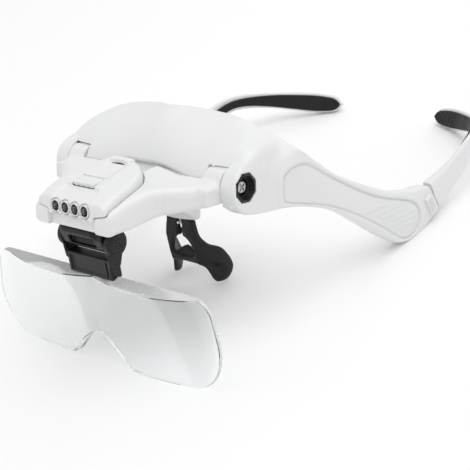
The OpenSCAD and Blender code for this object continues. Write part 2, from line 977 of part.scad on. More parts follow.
// Middle line of a temple tip and its height, from the arm's end to the tip's end
function tip_pt(dx, dy, dz) = [arm_end_x + dx, arm_end_y + dy, arm_end_z + dz];
tip_path = [
    tip_pt(-0.6, -6, -4.2), tip_pt(-0.3, 0.3, 0.2), tip_pt(0.6, 10, 6), tip_pt(1.2, 18, 12.5),
    tip_pt(1.2, 26, 18.3), tip_pt(-0.8, 35, 22), tip_pt(-5, 44, 23.4),
    tip_pt(-13, 55, 23.5), tip_pt(-23, 63.5, 23), tip_pt(-33, 70, 22.5),
    tip_pt(-42, 74, 22.3), tip_pt(-46, 75.4, 22.3), tip_pt(-50, 76.6, 22.3)
];
tip_heights = [14, 14, 11.5, 10, 8.6, 7.6, 7.4, 8, 9.4, 10, 8, 3.4, 2];
pad_heights = [4, 4, 4, 4, 3.8, 3.8, 4.4, 6, 7.4, 8, 6, 2, 1];

function tip_s(i) = 0.05 + i * 0.329;

// Ring round a tip's strip at one station: height, outer and inner face
function tip_ring(s, hs, o0, o1) =
    let(p = blend(tip_path, s), t = unit(blend(tip_path, s + 0.05) - blend(tip_path, s - 0.05)))
    let(n = unit([-t[1], t[0], 0]), u = unit(cross(t, n)))
    let(i = floor(s), f = s - i, h = (hs[i + 1] * (1 - f) + hs[min(i + 2, 12)] * f) / 2)
    [for (q = [[-h, o0 + 0.5], [0.6 - h, o0], [h - 0.6, o0], [h, o0 + 0.5],
               [h, o1 - 0.5], [h - 0.6, o1], [0.6 - h, o1], [-h, o1 - 0.5]])
        p + u * q[0] + n * q[1]];

module temple_tip() {
    difference() {
        loft([for (i = [0:30]) tip_ring(tip_s(i), tip_heights, 0,
            lookup(i, [[0, 5], [2, 5], [6, tip_t]]))], 3);
        // flat that the tip rests on
        translate([0, rest_rear_y, rest_rear_z])
        rotate([stand_angle, 0, 0])
        translate([-100, -40, -10])
        cube([200, 80, 10]);
    }
    tip_place()
    difference() {
        translate([-5.5, -tongue_len, -tongue_w / 2])
        cube([tongue_t, tongue_len + 2, tongue_w]);
        translate([-3.9, -6.6, -5])
        cube([3, 5.2, 10]);
    }
}

module temple_tip_left() {
    color("white") stand() temple_tip();
}

module temple_tip_right() {
    color("white") stand() mirror([1, 0, 0]) temple_tip();
}

module tip_pad() {
    loft([for (i = [7:29]) tip_ring(tip_s(i), pad_heights, tip_t + 0.15, tip_t + pad_t)], 3);
}

module tip_pad_left() {
    color("#1e1e1e") stand() tip_pad();
}

module tip_pad_right() {
    color("#1e1e1e") stand() mirror([1, 0, 0]) tip_pad();
}

module release_button() {
    tip_place()
    translate([-2.2, -6, -4.5])
    cube([3, 4, 9]);
}

module release_button_left() {
    color("#f4f4f4") stand() release_button();
}

module release_button_right() {
    color("#f4f4f4") stand() mirror([1, 0, 0]) release_button();
}

headband();
pivot_bezel_left();
pivot_bezel_right();
pivot_screws();
pivot_nuts();
pivot_washers();
arm_panel_left();
arm_panel_right();
front_frame();
nose_pad();
nose_pad_screw();
hinge_block();
block_screws();
lens_holder();
hinge_pin();
lens();
lamp_upper_shell();
lamp_lower_shell();
battery_cover();
switch_button();
switch_body();
lamp_leds();
led_sleeves();
circuit_board();
coin_cells();
cell_contact_minus();
cell_contact_plus();
lamp_screws();
temple_tip_left();
temple_tip_right();
tip_pad_left();
tip_pad_right();
release_button_left();
release_button_right();
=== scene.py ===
"""Lighted headband magnifier: the finished look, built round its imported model.

Everything is measured in millimetres as the magnifier is worn: the middle of the row of
lights is the origin, X runs to the wearer's left, Y to the back and Z up. stand() sets
those points down on the table, in metres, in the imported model's own frame.
"""
import math

import bpy
import numpy as np
from mathutils import Matrix


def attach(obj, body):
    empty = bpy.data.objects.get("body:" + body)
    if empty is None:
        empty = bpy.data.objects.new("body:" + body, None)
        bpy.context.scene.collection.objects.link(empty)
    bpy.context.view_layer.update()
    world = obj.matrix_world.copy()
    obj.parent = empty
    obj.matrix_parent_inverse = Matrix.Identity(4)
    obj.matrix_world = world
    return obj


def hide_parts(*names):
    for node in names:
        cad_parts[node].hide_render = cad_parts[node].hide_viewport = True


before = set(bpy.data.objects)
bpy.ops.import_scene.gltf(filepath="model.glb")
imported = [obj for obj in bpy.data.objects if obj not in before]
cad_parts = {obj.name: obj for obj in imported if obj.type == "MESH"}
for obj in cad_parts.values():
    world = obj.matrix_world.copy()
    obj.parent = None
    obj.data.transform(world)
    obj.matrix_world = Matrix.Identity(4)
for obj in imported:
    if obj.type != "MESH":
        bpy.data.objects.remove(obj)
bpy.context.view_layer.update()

# ---------------- where things are
STAND_ANGLE = math.radians(21.2024)    # from worn to standing on the table
MID_Y, REST_DROP = 97.7486, -67.7079   # its middle and its lowest point, once turned
BEAK_TILT = math.radians(19)
LENS_LEAN = math.radians(9.5)
HOLDER_LEAN = math.radians(12.5)
TIP_ANGLE = math.radians(35)     # of the arm's slanted end and of the tip's tongue
GAP_H, CHEEK_X = 43.8, 51.2      # inner and outer face of a cheek
PIVOT_Y, PIVOT_Z = 44.0, 8.2     # the front frame turns here
ARM_END = np.array([75.0, 140.0, -8.38])
HINGE_Y, HINGE_Z = 10.8, -13.4   # the lens holder turns here
LENS_AT, HOLDER_AT = [0, 13, -27.3], [0, 8.1, -20.3]  # where the lens and its holder begin
LENS_FOOT = [0, 18.187, -65.57]  # lowest point of the lens, which stands on the table
BARREL_R = 4.2                   # the frame's barrel on its pivot
BARREL_X = 16.6                  # and its half length
PIVOT_BORE = 1.55                # round the pivot's screw
BAY_X = 13.3                     # half the width of the lamp's bay between the horns


def turn_x(p, angle):
    """Points turned about the X axis by an angle, Y toward Z."""
    c, s = math.cos(angle), math.sin(angle)
    return np.stack([p[..., 0], c * p[..., 1] - s * p[..., 2], s * p[..., 1] + c * p[..., 2]], -1)


def stand(p):
    """Worn millimetres to table metres: turned back by the standing angle and set down."""
    return (turn_x(np.asarray(p, float), -STAND_ANGLE) - [0, MID_Y, REST_DROP]) * 0.001


def smooth(t, low, high):
    """0 below low, 1 above high, and an S-shaped rise between them."""
    t = np.clip((t - low) / (high - low), 0, 1)
    return t * t * (3 - 2 * t)


# ---------------- meshes
def solid(name, points, faces):
    """A mesh object in table metres from worn points and faces."""
    mesh = bpy.data.meshes.new(name)
    faces = faces.tolist() if isinstance(faces, np.ndarray) else faces
    mesh.from_pydata(stand(points).tolist(), [], faces)
    mesh.update()
    piece = bpy.data.objects.new(name, mesh)
    bpy.context.scene.collection.objects.link(piece)
    return piece


def put(name, points, faces, material, body, replaces=(), sharp=None):
    """Makes a finished piece, smoothly shaded up to the sharp angle, that rides on a body."""
    piece = solid(name, points, faces)
    mesh = piece.data
    mesh.polygons.foreach_set("use_smooth", np.ones(len(mesh.polygons), bool))
    if sharp:
        mesh.set_sharp_from_angle(angle=math.radians(sharp))
    mesh.materials.append(material)
    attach(piece, body)
    if replaces:
        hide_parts(*replaces)
    return piece


def put_pair(name, points, faces, material, body, replaces=None, sharp=None):
    """Puts a piece on the wearer's left and its mirror image on the right. The names that end
    in _ are followed by the side."""
    def sided(label):
        return label + tag if label.endswith("_") else label
    for side, tag in ((1, "left"), (-1, "right")):
        if side < 0:
            points, faces = mirrored(points, faces)
        put(sided(name), points, faces, material, sided(body),
            [sided(replaces)] if replaces else (), sharp)


def sheet_faces(rows, columns, close_rows=False, close_columns=False):
    """Quads of a grid of points, row by row, with its ends joined where asked."""
    r = np.arange(rows if close_rows else rows - 1)[:, None]
    c = np.arange(columns if close_columns else columns - 1)[None, :]
    r2, c2 = (r + 1) % rows, (c + 1) % columns
    quads = np.stack([r * columns + c, r * columns + c2, r2 * columns + c2, r2 * columns + c], -1)
    return quads.reshape(-1, 4)


def tube(rings, flip=False):
    """Closed body from rings of points: the rings are joined and each end is filled by a fan
    round its middle point."""
    n, m = rings.shape[:2]
    side = sheet_faces(n, m, close_columns=True)
    middle = rings[[0, -1]].mean(1)
    points = np.concatenate([rings.reshape(-1, 3), middle])
    a = np.arange(m)
    b = (a + 1) % m
    low = np.stack([np.full(m, n * m), b, a], -1)
    high = np.stack([np.full(m, n * m + 1), (n - 1) * m + a, (n - 1) * m + b], -1)
    faces = side.tolist() + low.tolist() + high.tolist()
    if flip:
        faces = [f[::-1] for f in faces]
    return points, faces


def mirrored(points, faces):
    """The same body on the wearer's other side, with its faces turned back outward."""
    return points * [-1, 1, 1], [list(map(int, f))[::-1] for f in faces]


def net(field, low, high, step):
    """Skin of a blended solid. field gives each point's distance outside the solid. On a
    lattice of cubes, each cube that the skin crosses gets one point, at the mean of where the
    skin cuts its edges, and each cut edge gets a quad. The points are then slid along the
    field's slope until the field is zero there, so the skin is as smooth as the field."""
    low, high = np.array(low, float), np.array(high, float)
    count = np.ceil((high - low) / step).astype(int) + 1
    axes = [low[i] + step * np.arange(count[i]) for i in range(3)]
    f = np.empty(count, np.float32)
    grid_y, grid_z = np.meshgrid(axes[1], axes[2], indexing="ij")
    for i in range(0, count[0], 16):
        x = axes[0][i:i + 16]
        p = np.empty((len(x),) + grid_y.shape + (3,))
        p[..., 0], p[..., 1], p[..., 2] = x[:, None, None], grid_y, grid_z
        f[i:i + 16] = field(p.reshape(-1, 3)).reshape(p.shape[:3])
    cells = count - 1
    total = np.zeros((int(np.prod(cells)), 3))
    hits = np.zeros(int(np.prod(cells)))
    inside = f < 0
    cut = []
    for axis in range(3):
        near = [slice(None)] * 3
        far = [slice(None)] * 3
        near[axis], far[axis] = slice(0, -1), slice(1, None)
        f0, f1 = f[tuple(near)], f[tuple(far)]
        at = np.argwhere(inside[tuple(near)] != inside[tuple(far)])
        u, v = [k for k in range(3) if k != axis]
        at = at[(at[:, u] > 0) & (at[:, v] > 0) & (at[:, u] < cells[u]) & (at[:, v] < cells[v])]
        a, b = f0[tuple(at.T)], f1[tuple(at.T)]
        where = at.astype(float)
        where[:, axis] += a / (a - b)
        ring = []
        for du, dv in ((0, 0), (1, 0), (1, 1), (0, 1)):
            cell = at.copy()
            cell[:, u] -= du
            cell[:, v] -= dv
            flat = np.ravel_multi_index(cell.T, cells)
            ring.append(flat)
            for k in range(3):
                total[:, k] += np.bincount(flat, where[:, k], len(total))
            hits += np.bincount(flat, minlength=len(hits))
        ring = np.stack(ring, -1)
        turned = (a < 0) == (axis != 1)
        ring[turned] = ring[turned][:, ::-1]
        cut.append(ring)
    used = np.flatnonzero(hits)
    index = np.zeros(len(hits), int)
    index[used] = np.arange(len(used))
    points = low + step * total[used] / hits[used][:, None]
    for _ in range(3):
        value = field(points)
        slope = np.stack([field(points + e) - field(points - e)
                          for e in np.eye(3) * 0.02], -1) / 0.04
        move = value[:, None] * slope / np.maximum((slope ** 2).sum(-1, keepdims=True), 0.25)
        reach = np.linalg.norm(move, axis=-1, keepdims=True)
        points = points - move * np.minimum(1, 0.6 * step / np.maximum(reach, 1e-9))
    return points, index[np.concatenate(cut)][:, ::-1]


# ---------------- solids as distances
def join(a, b, k=0.01):
    """Union of two solids with a fillet of about k."""
    h = np.maximum(k - np.abs(a - b), 0) / k
    return np.minimum(a, b) - h * h * k / 4


def both(a, b, k=0.01):
    """What two solids share, its edge rounded by about k."""
    return -join(-a, -b, k)


def less(a, b, k=0.01):
    """The first solid with the second cut out of it, the edge rounded by about k."""
    return both(a, -b, k)


def block(p, middle, half, r=0.5):
    """A block with edges rounded by r."""
    q = np.abs(p - middle) - (np.array(half) - r)
    return np.linalg.norm(np.maximum(q, 0), axis=-1) + np.minimum(q.max(-1), 0) - r


def bar(p, y, z, r, x0, x1, edge=0.3):
    """A round bar along X."""
    return both(np.hypot(p[:, 1] - y, p[:, 2] - z) - r, np.abs(p[:, 0] - (x0 + x1) / 2)
                - abs(x1 - x0) / 2, edge)


def limb(p, a, b, ra, rb):
    """A round limb from a to b, its radius running from ra to rb."""
    a, b = np.array(a, float), np.array(b, float)
    t = np.clip((p - a) @ (b - a) / ((b - a) @ (b - a)), 0, 1)
    return np.linalg.norm(p - a - t[:, None] * (b - a), axis=-1) - (ra + (rb - ra) * t)


def outline(u, v, corners):
    """Distance outside a flat closed outline: the nearest of its straight sides, made
    negative where a ray to the side crosses the outline an odd number of times."""
    corners = np.asarray(corners, float)
    near = np.full(u.shape, 1e9)
    odd = np.zeros(u.shape, bool)
    for (ax, ay), (bx, by) in zip(corners, np.roll(corners, -1, 0)):
        dx, dy = bx - ax, by - ay
        t = np.clip(((u - ax) * dx + (v - ay) * dy) / (dx * dx + dy * dy), 0, 1)
        near = np.minimum(near, (u - ax - t * dx) ** 2 + (v - ay - t * dy) ** 2)
        if by != ay:
            odd ^= ((ay > v) != (by > v)) & (u < dx * (v - ay) / (by - ay) + ax)
    return np.sqrt(near) * np.where(odd, -1, 1)


def rounded(corners, steps=4):
    """A flat outline with its corners rounded: each side is cut at a quarter and at three
    quarters of its length, a few times over."""
    p = np.asarray(corners, float)
    for _ in range(steps):
        q = np.roll(p, -1, 0)
        p = np.stack([p * 0.75 + q * 0.25, p * 0.25 + q * 0.75], 1).reshape(-1, 2)
    return p


def from_beak(p):
    """Worn points in the beak's own frame: X, distance along the beak, height above it."""
    return turn_x(p, -BEAK_TILT)


def folded(p):
    """Points brought over to the wearer's left, and their three coordinates."""
    q = np.stack([np.abs(p[:, 0]), p[:, 1], p[:, 2]], -1)
    return q, *q.T


# ---------------- finishes
def noise(tree, vector, scale, detail=3.0, rough=0.5):
    """A noise texture on a vector; its scale is per metre."""
    made = tree.nodes.new("ShaderNodeTexNoise")
    made.inputs["Scale"].default_value = scale
    made.inputs["Detail"].default_value = detail
    made.inputs["Roughness"].default_value = rough
    tree.links.new(vector, made.inputs["Vector"])
    return made.outputs["Fac"]


def ramp(tree, value, low, high, out_low, out_high):
    """A value carried from one span to another, without going past it."""
    made = tree.nodes.new("ShaderNodeMapRange")
    for label, v in (("From Min", low), ("From Max", high), ("To Min", out_low),
                     ("To Max", out_high)):
        made.inputs[label].default_value = v
    tree.links.new(value, made.inputs["Value"])
    return made.outputs["Result"]


def moulded_skin():
    """Group: the fine skin of a moulded plastic. Soft flow clouds shift the colour, rubbed
    patches change the gloss, and a fine texture lifts the surface."""
    tree = bpy.data.node_groups.new("moulded_skin", "ShaderNodeTree")

    def socket(label, way):
        kind = "NodeSocketColor" if "Color" in label else "NodeSocketFloat"
        return tree.interface.new_socket(label, in_out=way, socket_type=kind)
    for label, value in (("Color", (0.8, 0.8, 0.8, 1)), ("Second Color", (0.75, 0.75, 0.75, 1)),
                         ("Roughness", 0.25), ("Rubbed", 0.1), ("Grain Scale", 2500.0)):
        socket(label, "INPUT").default_value = value
    for label in ("Color", "Roughness", "Height"):
        socket(label, "OUTPUT")
    given, out = tree.nodes.new("NodeGroupInput"), tree.nodes.new("NodeGroupOutput")
    link = tree.links.new
    place = tree.nodes.new("ShaderNodeTexCoord").outputs["Object"]
    clouds = ramp(tree, noise(tree, place, 45.0, 4.0), 0.35, 0.65, 0.0, 1.0)
    mix = tree.nodes.new("ShaderNodeMix")
    mix.data_type = "RGBA"
    link(clouds, mix.inputs["Factor"])
    link(given.outputs["Color"], mix.inputs["A"])
    link(given.outputs["Second Color"], mix.inputs["B"])
    link(mix.outputs["Result"], out.inputs["Color"])
    patches = ramp(tree, noise(tree, place, 160.0, 6.0, 0.65), 0.45, 0.75, 0.0, 1.0)
    rub = tree.nodes.new("ShaderNodeMath")
    rub.operation = "MULTIPLY_ADD"
    link(patches, rub.inputs[0])
    link(given.outputs["Rubbed"], rub.inputs[1])
    link(given.outputs["Roughness"], rub.inputs[2])
    link(rub.outputs["Value"], out.inputs["Roughness"])
    grain = noise(tree, place, 1.0, 2.0)
    link(given.outputs["Grain Scale"], grain.node.inputs["Scale"])
    link(grain, out.inputs["Height"])
    return tree


SKIN = moulded_skin()


def plastic(name, color, second, roughness, rubbed, grain, bump, **shader):
    """A moulded plastic or rubber: the skin group feeds colour, gloss and a fine bump."""
    made = bpy.data.materials.new(name)
    made["slot"] = name
    made.use_nodes = True
    tree = made.node_tree
    link = tree.links.new
    surface = tree.nodes["Principled BSDF"]
    skin = tree.nodes.new("ShaderNodeGroup")
    skin.node_tree = SKIN
    for label, value in (("Color", color + (1,)), ("Second Color", second + (1,)),
                         ("Roughness", roughness), ("Rubbed", rubbed), ("Grain Scale", grain)):
        skin.inputs[label].default_value = value
    link(skin.outputs["Color"], surface.inputs["Base Color"])
    link(skin.outputs["Roughness"], surface.inputs["Roughness"])
    lift = tree.nodes.new("ShaderNodeBump")
    lift.inputs["Strength"].default_value = bump
    lift.inputs["Distance"].default_value = 0.0001
    link(skin.outputs["Height"], lift.inputs["Height"])
    link(lift.outputs["Normal"], surface.inputs["Normal"])
    for label, value in shader.items():
        surface.inputs[label.replace("_", " ")].default_value = value
    return made


def glass(*skin, **shader):
    """A clear plastic: the moulded skin on a transmitting surface that lets most of the light
    through to what lies behind it, so that it throws a pale shadow."""
    made = plastic(*skin, **shader)
    tree = made.node_tree
    link = tree.links.new
    rays = tree.nodes.new("ShaderNodeLightPath")
    through = tree.nodes.new("ShaderNodeBsdfTransparent")
    through.inputs["Color"].default_value = (0.93, 0.94, 0.94, 1)
    share = tree.nodes.new("ShaderNodeMixShader")
    link(rays.outputs["Is Shadow Ray"], share.inputs[0])
    link(tree.nodes["Principled BSDF"].outputs[0], share.inputs[1])
    link(through.outputs[0], share.inputs[2])
    link(share.outputs[0], tree.nodes["Material Output"].inputs["Surface"])
    return made


white = plastic("white_abs", (0.80, 0.80, 0.80), (0.78, 0.785, 0.79), 0.3, 0.06, 1800, 0.05,
                Coat_Weight=0.2, Coat_Roughness=0.15)
black = plastic("black_abs", (0.007, 0.007, 0.008), (0.012, 0.012, 0.013), 0.3, 0.12, 5000, 0.25,
                Specular_IOR_Level=0.32)
rubber = plastic("black_rubber", (0.009, 0.009, 0.01), (0.014, 0.014, 0.015), 0.5, 0.15,
                 7000, 0.35, Specular_IOR_Level=0.3)
steel = plastic("screw_steel", (0.62, 0.62, 0.63), (0.5, 0.5, 0.52), 0.25, 0.15, 6000, 0.15,
                Metallic=1.0)
green = plastic("board_green", (0.03, 0.16, 0.07), (0.02, 0.12, 0.05), 0.35, 0.1, 3000, 0.2)
brass = plastic("contact_brass", (0.75, 0.55, 0.25), (0.65, 0.47, 0.2), 0.3, 0.1, 5000, 0.1,
                Metallic=1.0)
cell = plastic("cell_steel", (0.7, 0.7, 0.7), (0.6, 0.6, 0.61), 0.22, 0.15, 5000, 0.1,
               Metallic=1.0)
clear = glass("clear_acrylic", (0.97, 0.985, 0.985), (0.96, 0.98, 0.98), 0.02, 0.03, 400, 0.0,
              Transmission_Weight=1.0, IOR=1.49)
clear_edge = glass("clear_acrylic", (0.96, 0.965, 0.965), (0.9, 0.91, 0.91), 0.12, 0.3, 900, 0.2,
                   Transmission_Weight=0.55, IOR=1.49)
dome = glass("led_epoxy", (0.95, 0.96, 0.97), (0.93, 0.94, 0.95), 0.04, 0.03, 900, 0.0,
             Transmission_Weight=1.0, IOR=1.5)

# ---------------- hood and arms
def brow(x, dy, dz):
    """A point of the hood: dy and dz run from the middle of its lower edge to its top."""
    return [x, 39.6 + 17 * dy, 12.6 + 22 * dz]


def arm(kx, ky, kz):
    """A point of an arm: the shares run from the front of the cheek back, out and down."""
    return [CHEEK_X + 24 * kx, 40.5 + 80 * ky, 9.3 - 34 * kz]


def arm_end(h):
    """A point of the arm's rear edge, h up its slanted end."""
    return ARM_END + [0, -h * math.sin(TIP_ANGLE), h * math.cos(TIP_ANGLE)]


def spare(points):
    """A curve's points with one more before the first, mirrored, and one past the last."""
    p = np.array(points, float)
    return np.concatenate([[p[1] * [-1, 1, 1]], p, [2 * p[-1] - p[-2]]])


LOW_EDGE = spare([
    brow(0, -0.02, 0.02), brow(10, 0, 0), brow(25, 0, -0.14), brow(35, -0.06, -0.16),
    brow(44, -0.05, -0.545), arm(-0.07, -0.013, 0.25), arm(0.01, 0.09, 0.36),
    arm(0.3, 0.28, 0.32), arm(0.51, 0.42, 0.36), arm(0.66, 0.56, 0.48), arm(0.85, 0.86, 0.88),
    arm(0.91, 1, 1), arm(0.95, 1.15, 0.92), arm_end(-7)])
WAIST = spare([
    brow(0, 0.26, 0.61), brow(10, 0.28, 0.59), brow(25.5, 0.32, 0.52), brow(35.5, 0.3, 0.5),
    brow(45, 0.07, 0.47), arm(0.01, 0.01, -0.3), arm(0.03, 0.14, -0.11),
    arm(0.34, 0.29, -0.05), arm(0.57, 0.42, 0.08), arm(0.69, 0.56, 0.25),
    arm(0.87, 0.87, 0.58), arm(0.95, 1.02, 0.69), arm(1, 1.14, 0.63),
    ARM_END + [0.5, 0, 0]])
TOP_EDGE = spare([
    brow(0, 0.965, 1), brow(10, 1.17, 0.98), brow(25, 1.39, 0.9), brow(33.5, 1.4, 0.83),
    brow(41.5, 1.41, 0.71), brow(48, 1.49, 0.6), arm(0.1, 0.32, -0.42),
    arm(0.37, 0.34, -0.33), arm(0.49, 0.44, -0.15), arm(0.62, 0.56, 0.03),
    arm(0.81, 0.87, 0.3), arm(0.89, 1.06, 0.37), arm(0.92, 1.13, 0.36),
    arm_end(7) - [0.6, 0, 0]])


def curve(points, t):
    """Smooth curve through points: between two of them it leaves and arrives in the
    direction of their neighbours."""
    i = np.clip(np.floor(t).astype(int), 0, len(points) - 4)
    f = (t - i)[..., None]
    a, b, c, d = (points[i + k] for k in range(4))
    return b + 0.5 * f * ((c - a) + f * ((2 * a - 5 * b + 4 * c - d)
                                         + f * (3 * (b - c) + d - a)))


def skin(s, v):
    """The headband's outer skin: at each station s an arc bends from the lower edge (v 0)
    by the waist to the top edge (v 1)."""
    s, v = np.broadcast_arrays(np.asarray(s, float), np.asarray(v, float))
    a = np.abs(s)
    w = v[..., None]
    p = (1 - w) ** 2 * curve(LOW_EDGE, a) + 2 * w * (1 - w) * curve(WAIST, a) \
        + w ** 2 * curve(TOP_EDGE, a)
    p[..., 0] *= np.where(s < 0, -1, 1)
    return p


def inward(p):
    """Direction from the skin toward the wearer's head."""
    f = np.clip((p[..., 1] - 75) / 12, 0, 1)
    q = np.stack([np.zeros_like(f), np.maximum(75, p[..., 1]), -5 + f * (p[..., 2] + 5)], -1) - p
    return q / np.linalg.norm(q, axis=-1, keepdims=True)


def wall(s):
    """Thickness of the shell: thin at the brow, thick at the arms' sockets."""
    return np.interp(np.abs(s), [0, 6, 8, 10], [2.6, 2.6, 3.6, 6.4])


PANEL = rounded([
    [60.5, 0.2], [59.8, 2], [60, 9.6], [61.8, 12.7], [64.9, 14.9], [68.1, 15.8],
    [71, 14.6], [79.6, 8.8], [94.1, 1.6], [106.8, -3.4], [125, -6.9], [129.6, -10],
    [131, -15], [129.7, -20], [126, -22.8], [121.8, -23.2], [117.2, -21.8],
    [109.7, -17.1], [100.6, -12.1], [87.8, -6], [76.6, -2], [67.2, -0.6]], 3)


def panel_dip(p):
    """How far the skin is pressed in round each arm's panel: a soft lip, then a groove and
    the panel's seat."""
    d = outline(p[..., 1].ravel(), p[..., 2].ravel(), PANEL).reshape(p.shape[:-1])
    on_arm = (np.abs(p[..., 0]) > 50) & (p[..., 1] > 57)
    seat = 1.3 * (1 - smooth(d, -0.25, 0.45))
    lip = -0.25 * np.exp(-((d - 1.2) / 0.9) ** 2)
    return np.where(on_arm, seat + lip, 0)


def headband():
    """Hood and both arms as one closed wall: rings run round its cross-section, up the
    outer skin, over the rounded top edge, down the inside and back."""
    s = np.concatenate([np.linspace(0, 5.6, 110)[:-1], np.linspace(5.6, 13, 270)])
    s = np.concatenate([-s[:0:-1], s])
    rows = 84
    height = np.linalg.norm(np.diff(skin(s[:, None], np.linspace(0, 1, 33)), axis=1),
                            axis=-1).sum(1)
    t = wall(s)
    r = np.minimum(t * 0.5, 1.1)
    turn = np.linspace(0, math.pi / 2, 6)[1:-1]
    near = 1 - np.cos(turn)
    far = 1 - np.sin(turn)
    v_out = np.linspace(0, 1, rows)
    cut = (r / height)[:, None]
    v = np.concatenate([
        cut + v_out * (1 - 2 * cut), 1 - cut * far, 1 - cut * far[::-1],
        (1 - cut) - np.linspace(0, 1, 24) * (1 - 2 * cut), cut * far, cut * far[::-1]], 1)
    o = np.concatenate([
        0 * cut * v_out, r[:, None] * near, t[:, None] - r[:, None] * near[::-1],
        t[:, None] + np.zeros(24), t[:, None] - r[:, None] * near, r[:, None] * near[::-1]], 1)
    p = skin(s[:, None], v)
    o[:, :rows] += panel_dip(p[:, :rows])
    return tube(p + o[..., None] * inward(p), flip=True)


def cut_away(piece, *tools):
    """Cuts solid tools out of a piece for good, and deletes the tools."""
    for tool in tools:
        step = piece.modifiers.new("cut", "BOOLEAN")
        step.operation, step.solver, step.object = "DIFFERENCE", "EXACT", tool
    bpy.context.view_layer.update()
    shape = bpy.data.meshes.new_from_object(piece.evaluated_get(
        bpy.context.evaluated_depsgraph_get()))
    piece.modifiers.clear()
    old = piece.data
    piece.data = shape
    bpy.data.meshes.remove(old)
    for tool in tools:
        bpy.data.objects.remove(tool)


def side_block(corners, x0, x1):
    """A flat outline of depths and heights, drawn out along X."""
    c = np.asarray(corners, float)
    turn = np.sum(c[:, 0] * np.roll(c[:, 1], -1) - c[:, 1] * np.roll(c[:, 0], -1))
    c = c if turn > 0 else c[::-1]
    rings = np.array([[[x, y, z] for y, z in c] for x in (min(x0, x1), max(x0, x1))])
    return tube(rings)


def pivot_bar(r, x0, x1, sides, start=0.0):
    """A bar round the pivot with a number of sides, the first corner at the start angle."""
    a = start + np.linspace(0, 2 * math.pi, sides, endpoint=False)
    return side_block(np.stack([PIVOT_Y + r * np.cos(a), PIVOT_Z + r * np.sin(a)], -1), x0, x1)


BAND = put("hood_and_arms", *headband(), white, "headband", ["headband"])
# room for the frame's barrel, and on each side for the frame's ear and for the bezel
rooms = [solid("room", *pivot_bar(BARREL_R + 0.4, -17, 17, 96))]
for side in (-1, 1):
    rooms.append(solid("room", *side_block(
        [[32, -12], [53, -12], [53, 15.5], [32, 15.5]], 33.8 * side, GAP_H * side)))
    rooms.append(solid("room", *pivot_bar(6.15, 46.2 * side, 60 * side, 8, math.pi / 8)))
cut_away(BAND, *rooms)
BAND.data.set_sharp_from_angle(angle=math.radians(32))


CHEEK = np.array([
    [36.8, 8], [37.4, 4], [39.2, 0.7], [42.4, -1.8], [46.5, -3.2], [55, -3.4], [56, 18],
    [52, 20.2], [46.8, 18.4], [41.8, 15.8], [38.3, 12.4]])


def cheeks(p):
    """The solid cheek behind each pivot: its side outline drawn out sideways between the gap
    and its flat outer face, with soft edges, opened for the octagonal bezel and the screw."""
    q, x, y, z = folded(p)
    rise = 0.32 * np.maximum(y - 50, 0) - 0.03 * np.maximum(z - 11, 0) ** 2
    body = both(outline(y, z, rounded(CHEEK)), x - 51.3 - rise, 1.5)
    body = both(body, GAP_H - x, 0.6)
    y, z = np.abs(y - PIVOT_Y), np.abs(z - PIVOT_Z)
    eight = np.maximum(np.maximum(y, z), (y + z) * math.sqrt(0.5)) - 5.68
    body = less(body, np.maximum(eight, 46.3 - x), 0.2)
    return less(body, bar(q, PIVOT_Y, PIVOT_Z, PIVOT_BORE, 40, 60), 0.2)


put_pair("cheek_", *net(cheeks, (43, 35.5, -5), (54, 57, 21.5), 0.4), white, "headband")


# ---------------- arm panels
def skin_x(y, z):
    """Where the skin of an arm lies sideways at a depth and height: the station and arc
    position are found by a few steps along the skin's own slopes."""
    s = np.interp(y, [41, 60, 75, 85, 109, 120, 132], [6, 7.6, 9, 9.2, 10.1, 11, 12])
    v = np.full_like(s, 0.4)
    for _ in range(6):
        p = skin(s, v)
        ds = (skin(s + 1e-3, v) - p) / 1e-3
        dv = (skin(s, v + 1e-3) - p) / 1e-3
        ey, ez = y - p[..., 1], z - p[..., 2]
        det = ds[..., 1] * dv[..., 2] - ds[..., 2] * dv[..., 1]
        det = np.where(np.abs(det) < 1e-6, 1e-6, det)
        s = s + np.clip((ey * dv[..., 2] - ez * dv[..., 1]) / det, -0.5, 0.5)
        v = np.clip(v + np.clip((ds[..., 1] * ez - ds[..., 2] * ey) / det, -0.3, 0.3), -0.1, 1.1)
    return skin(s, v)


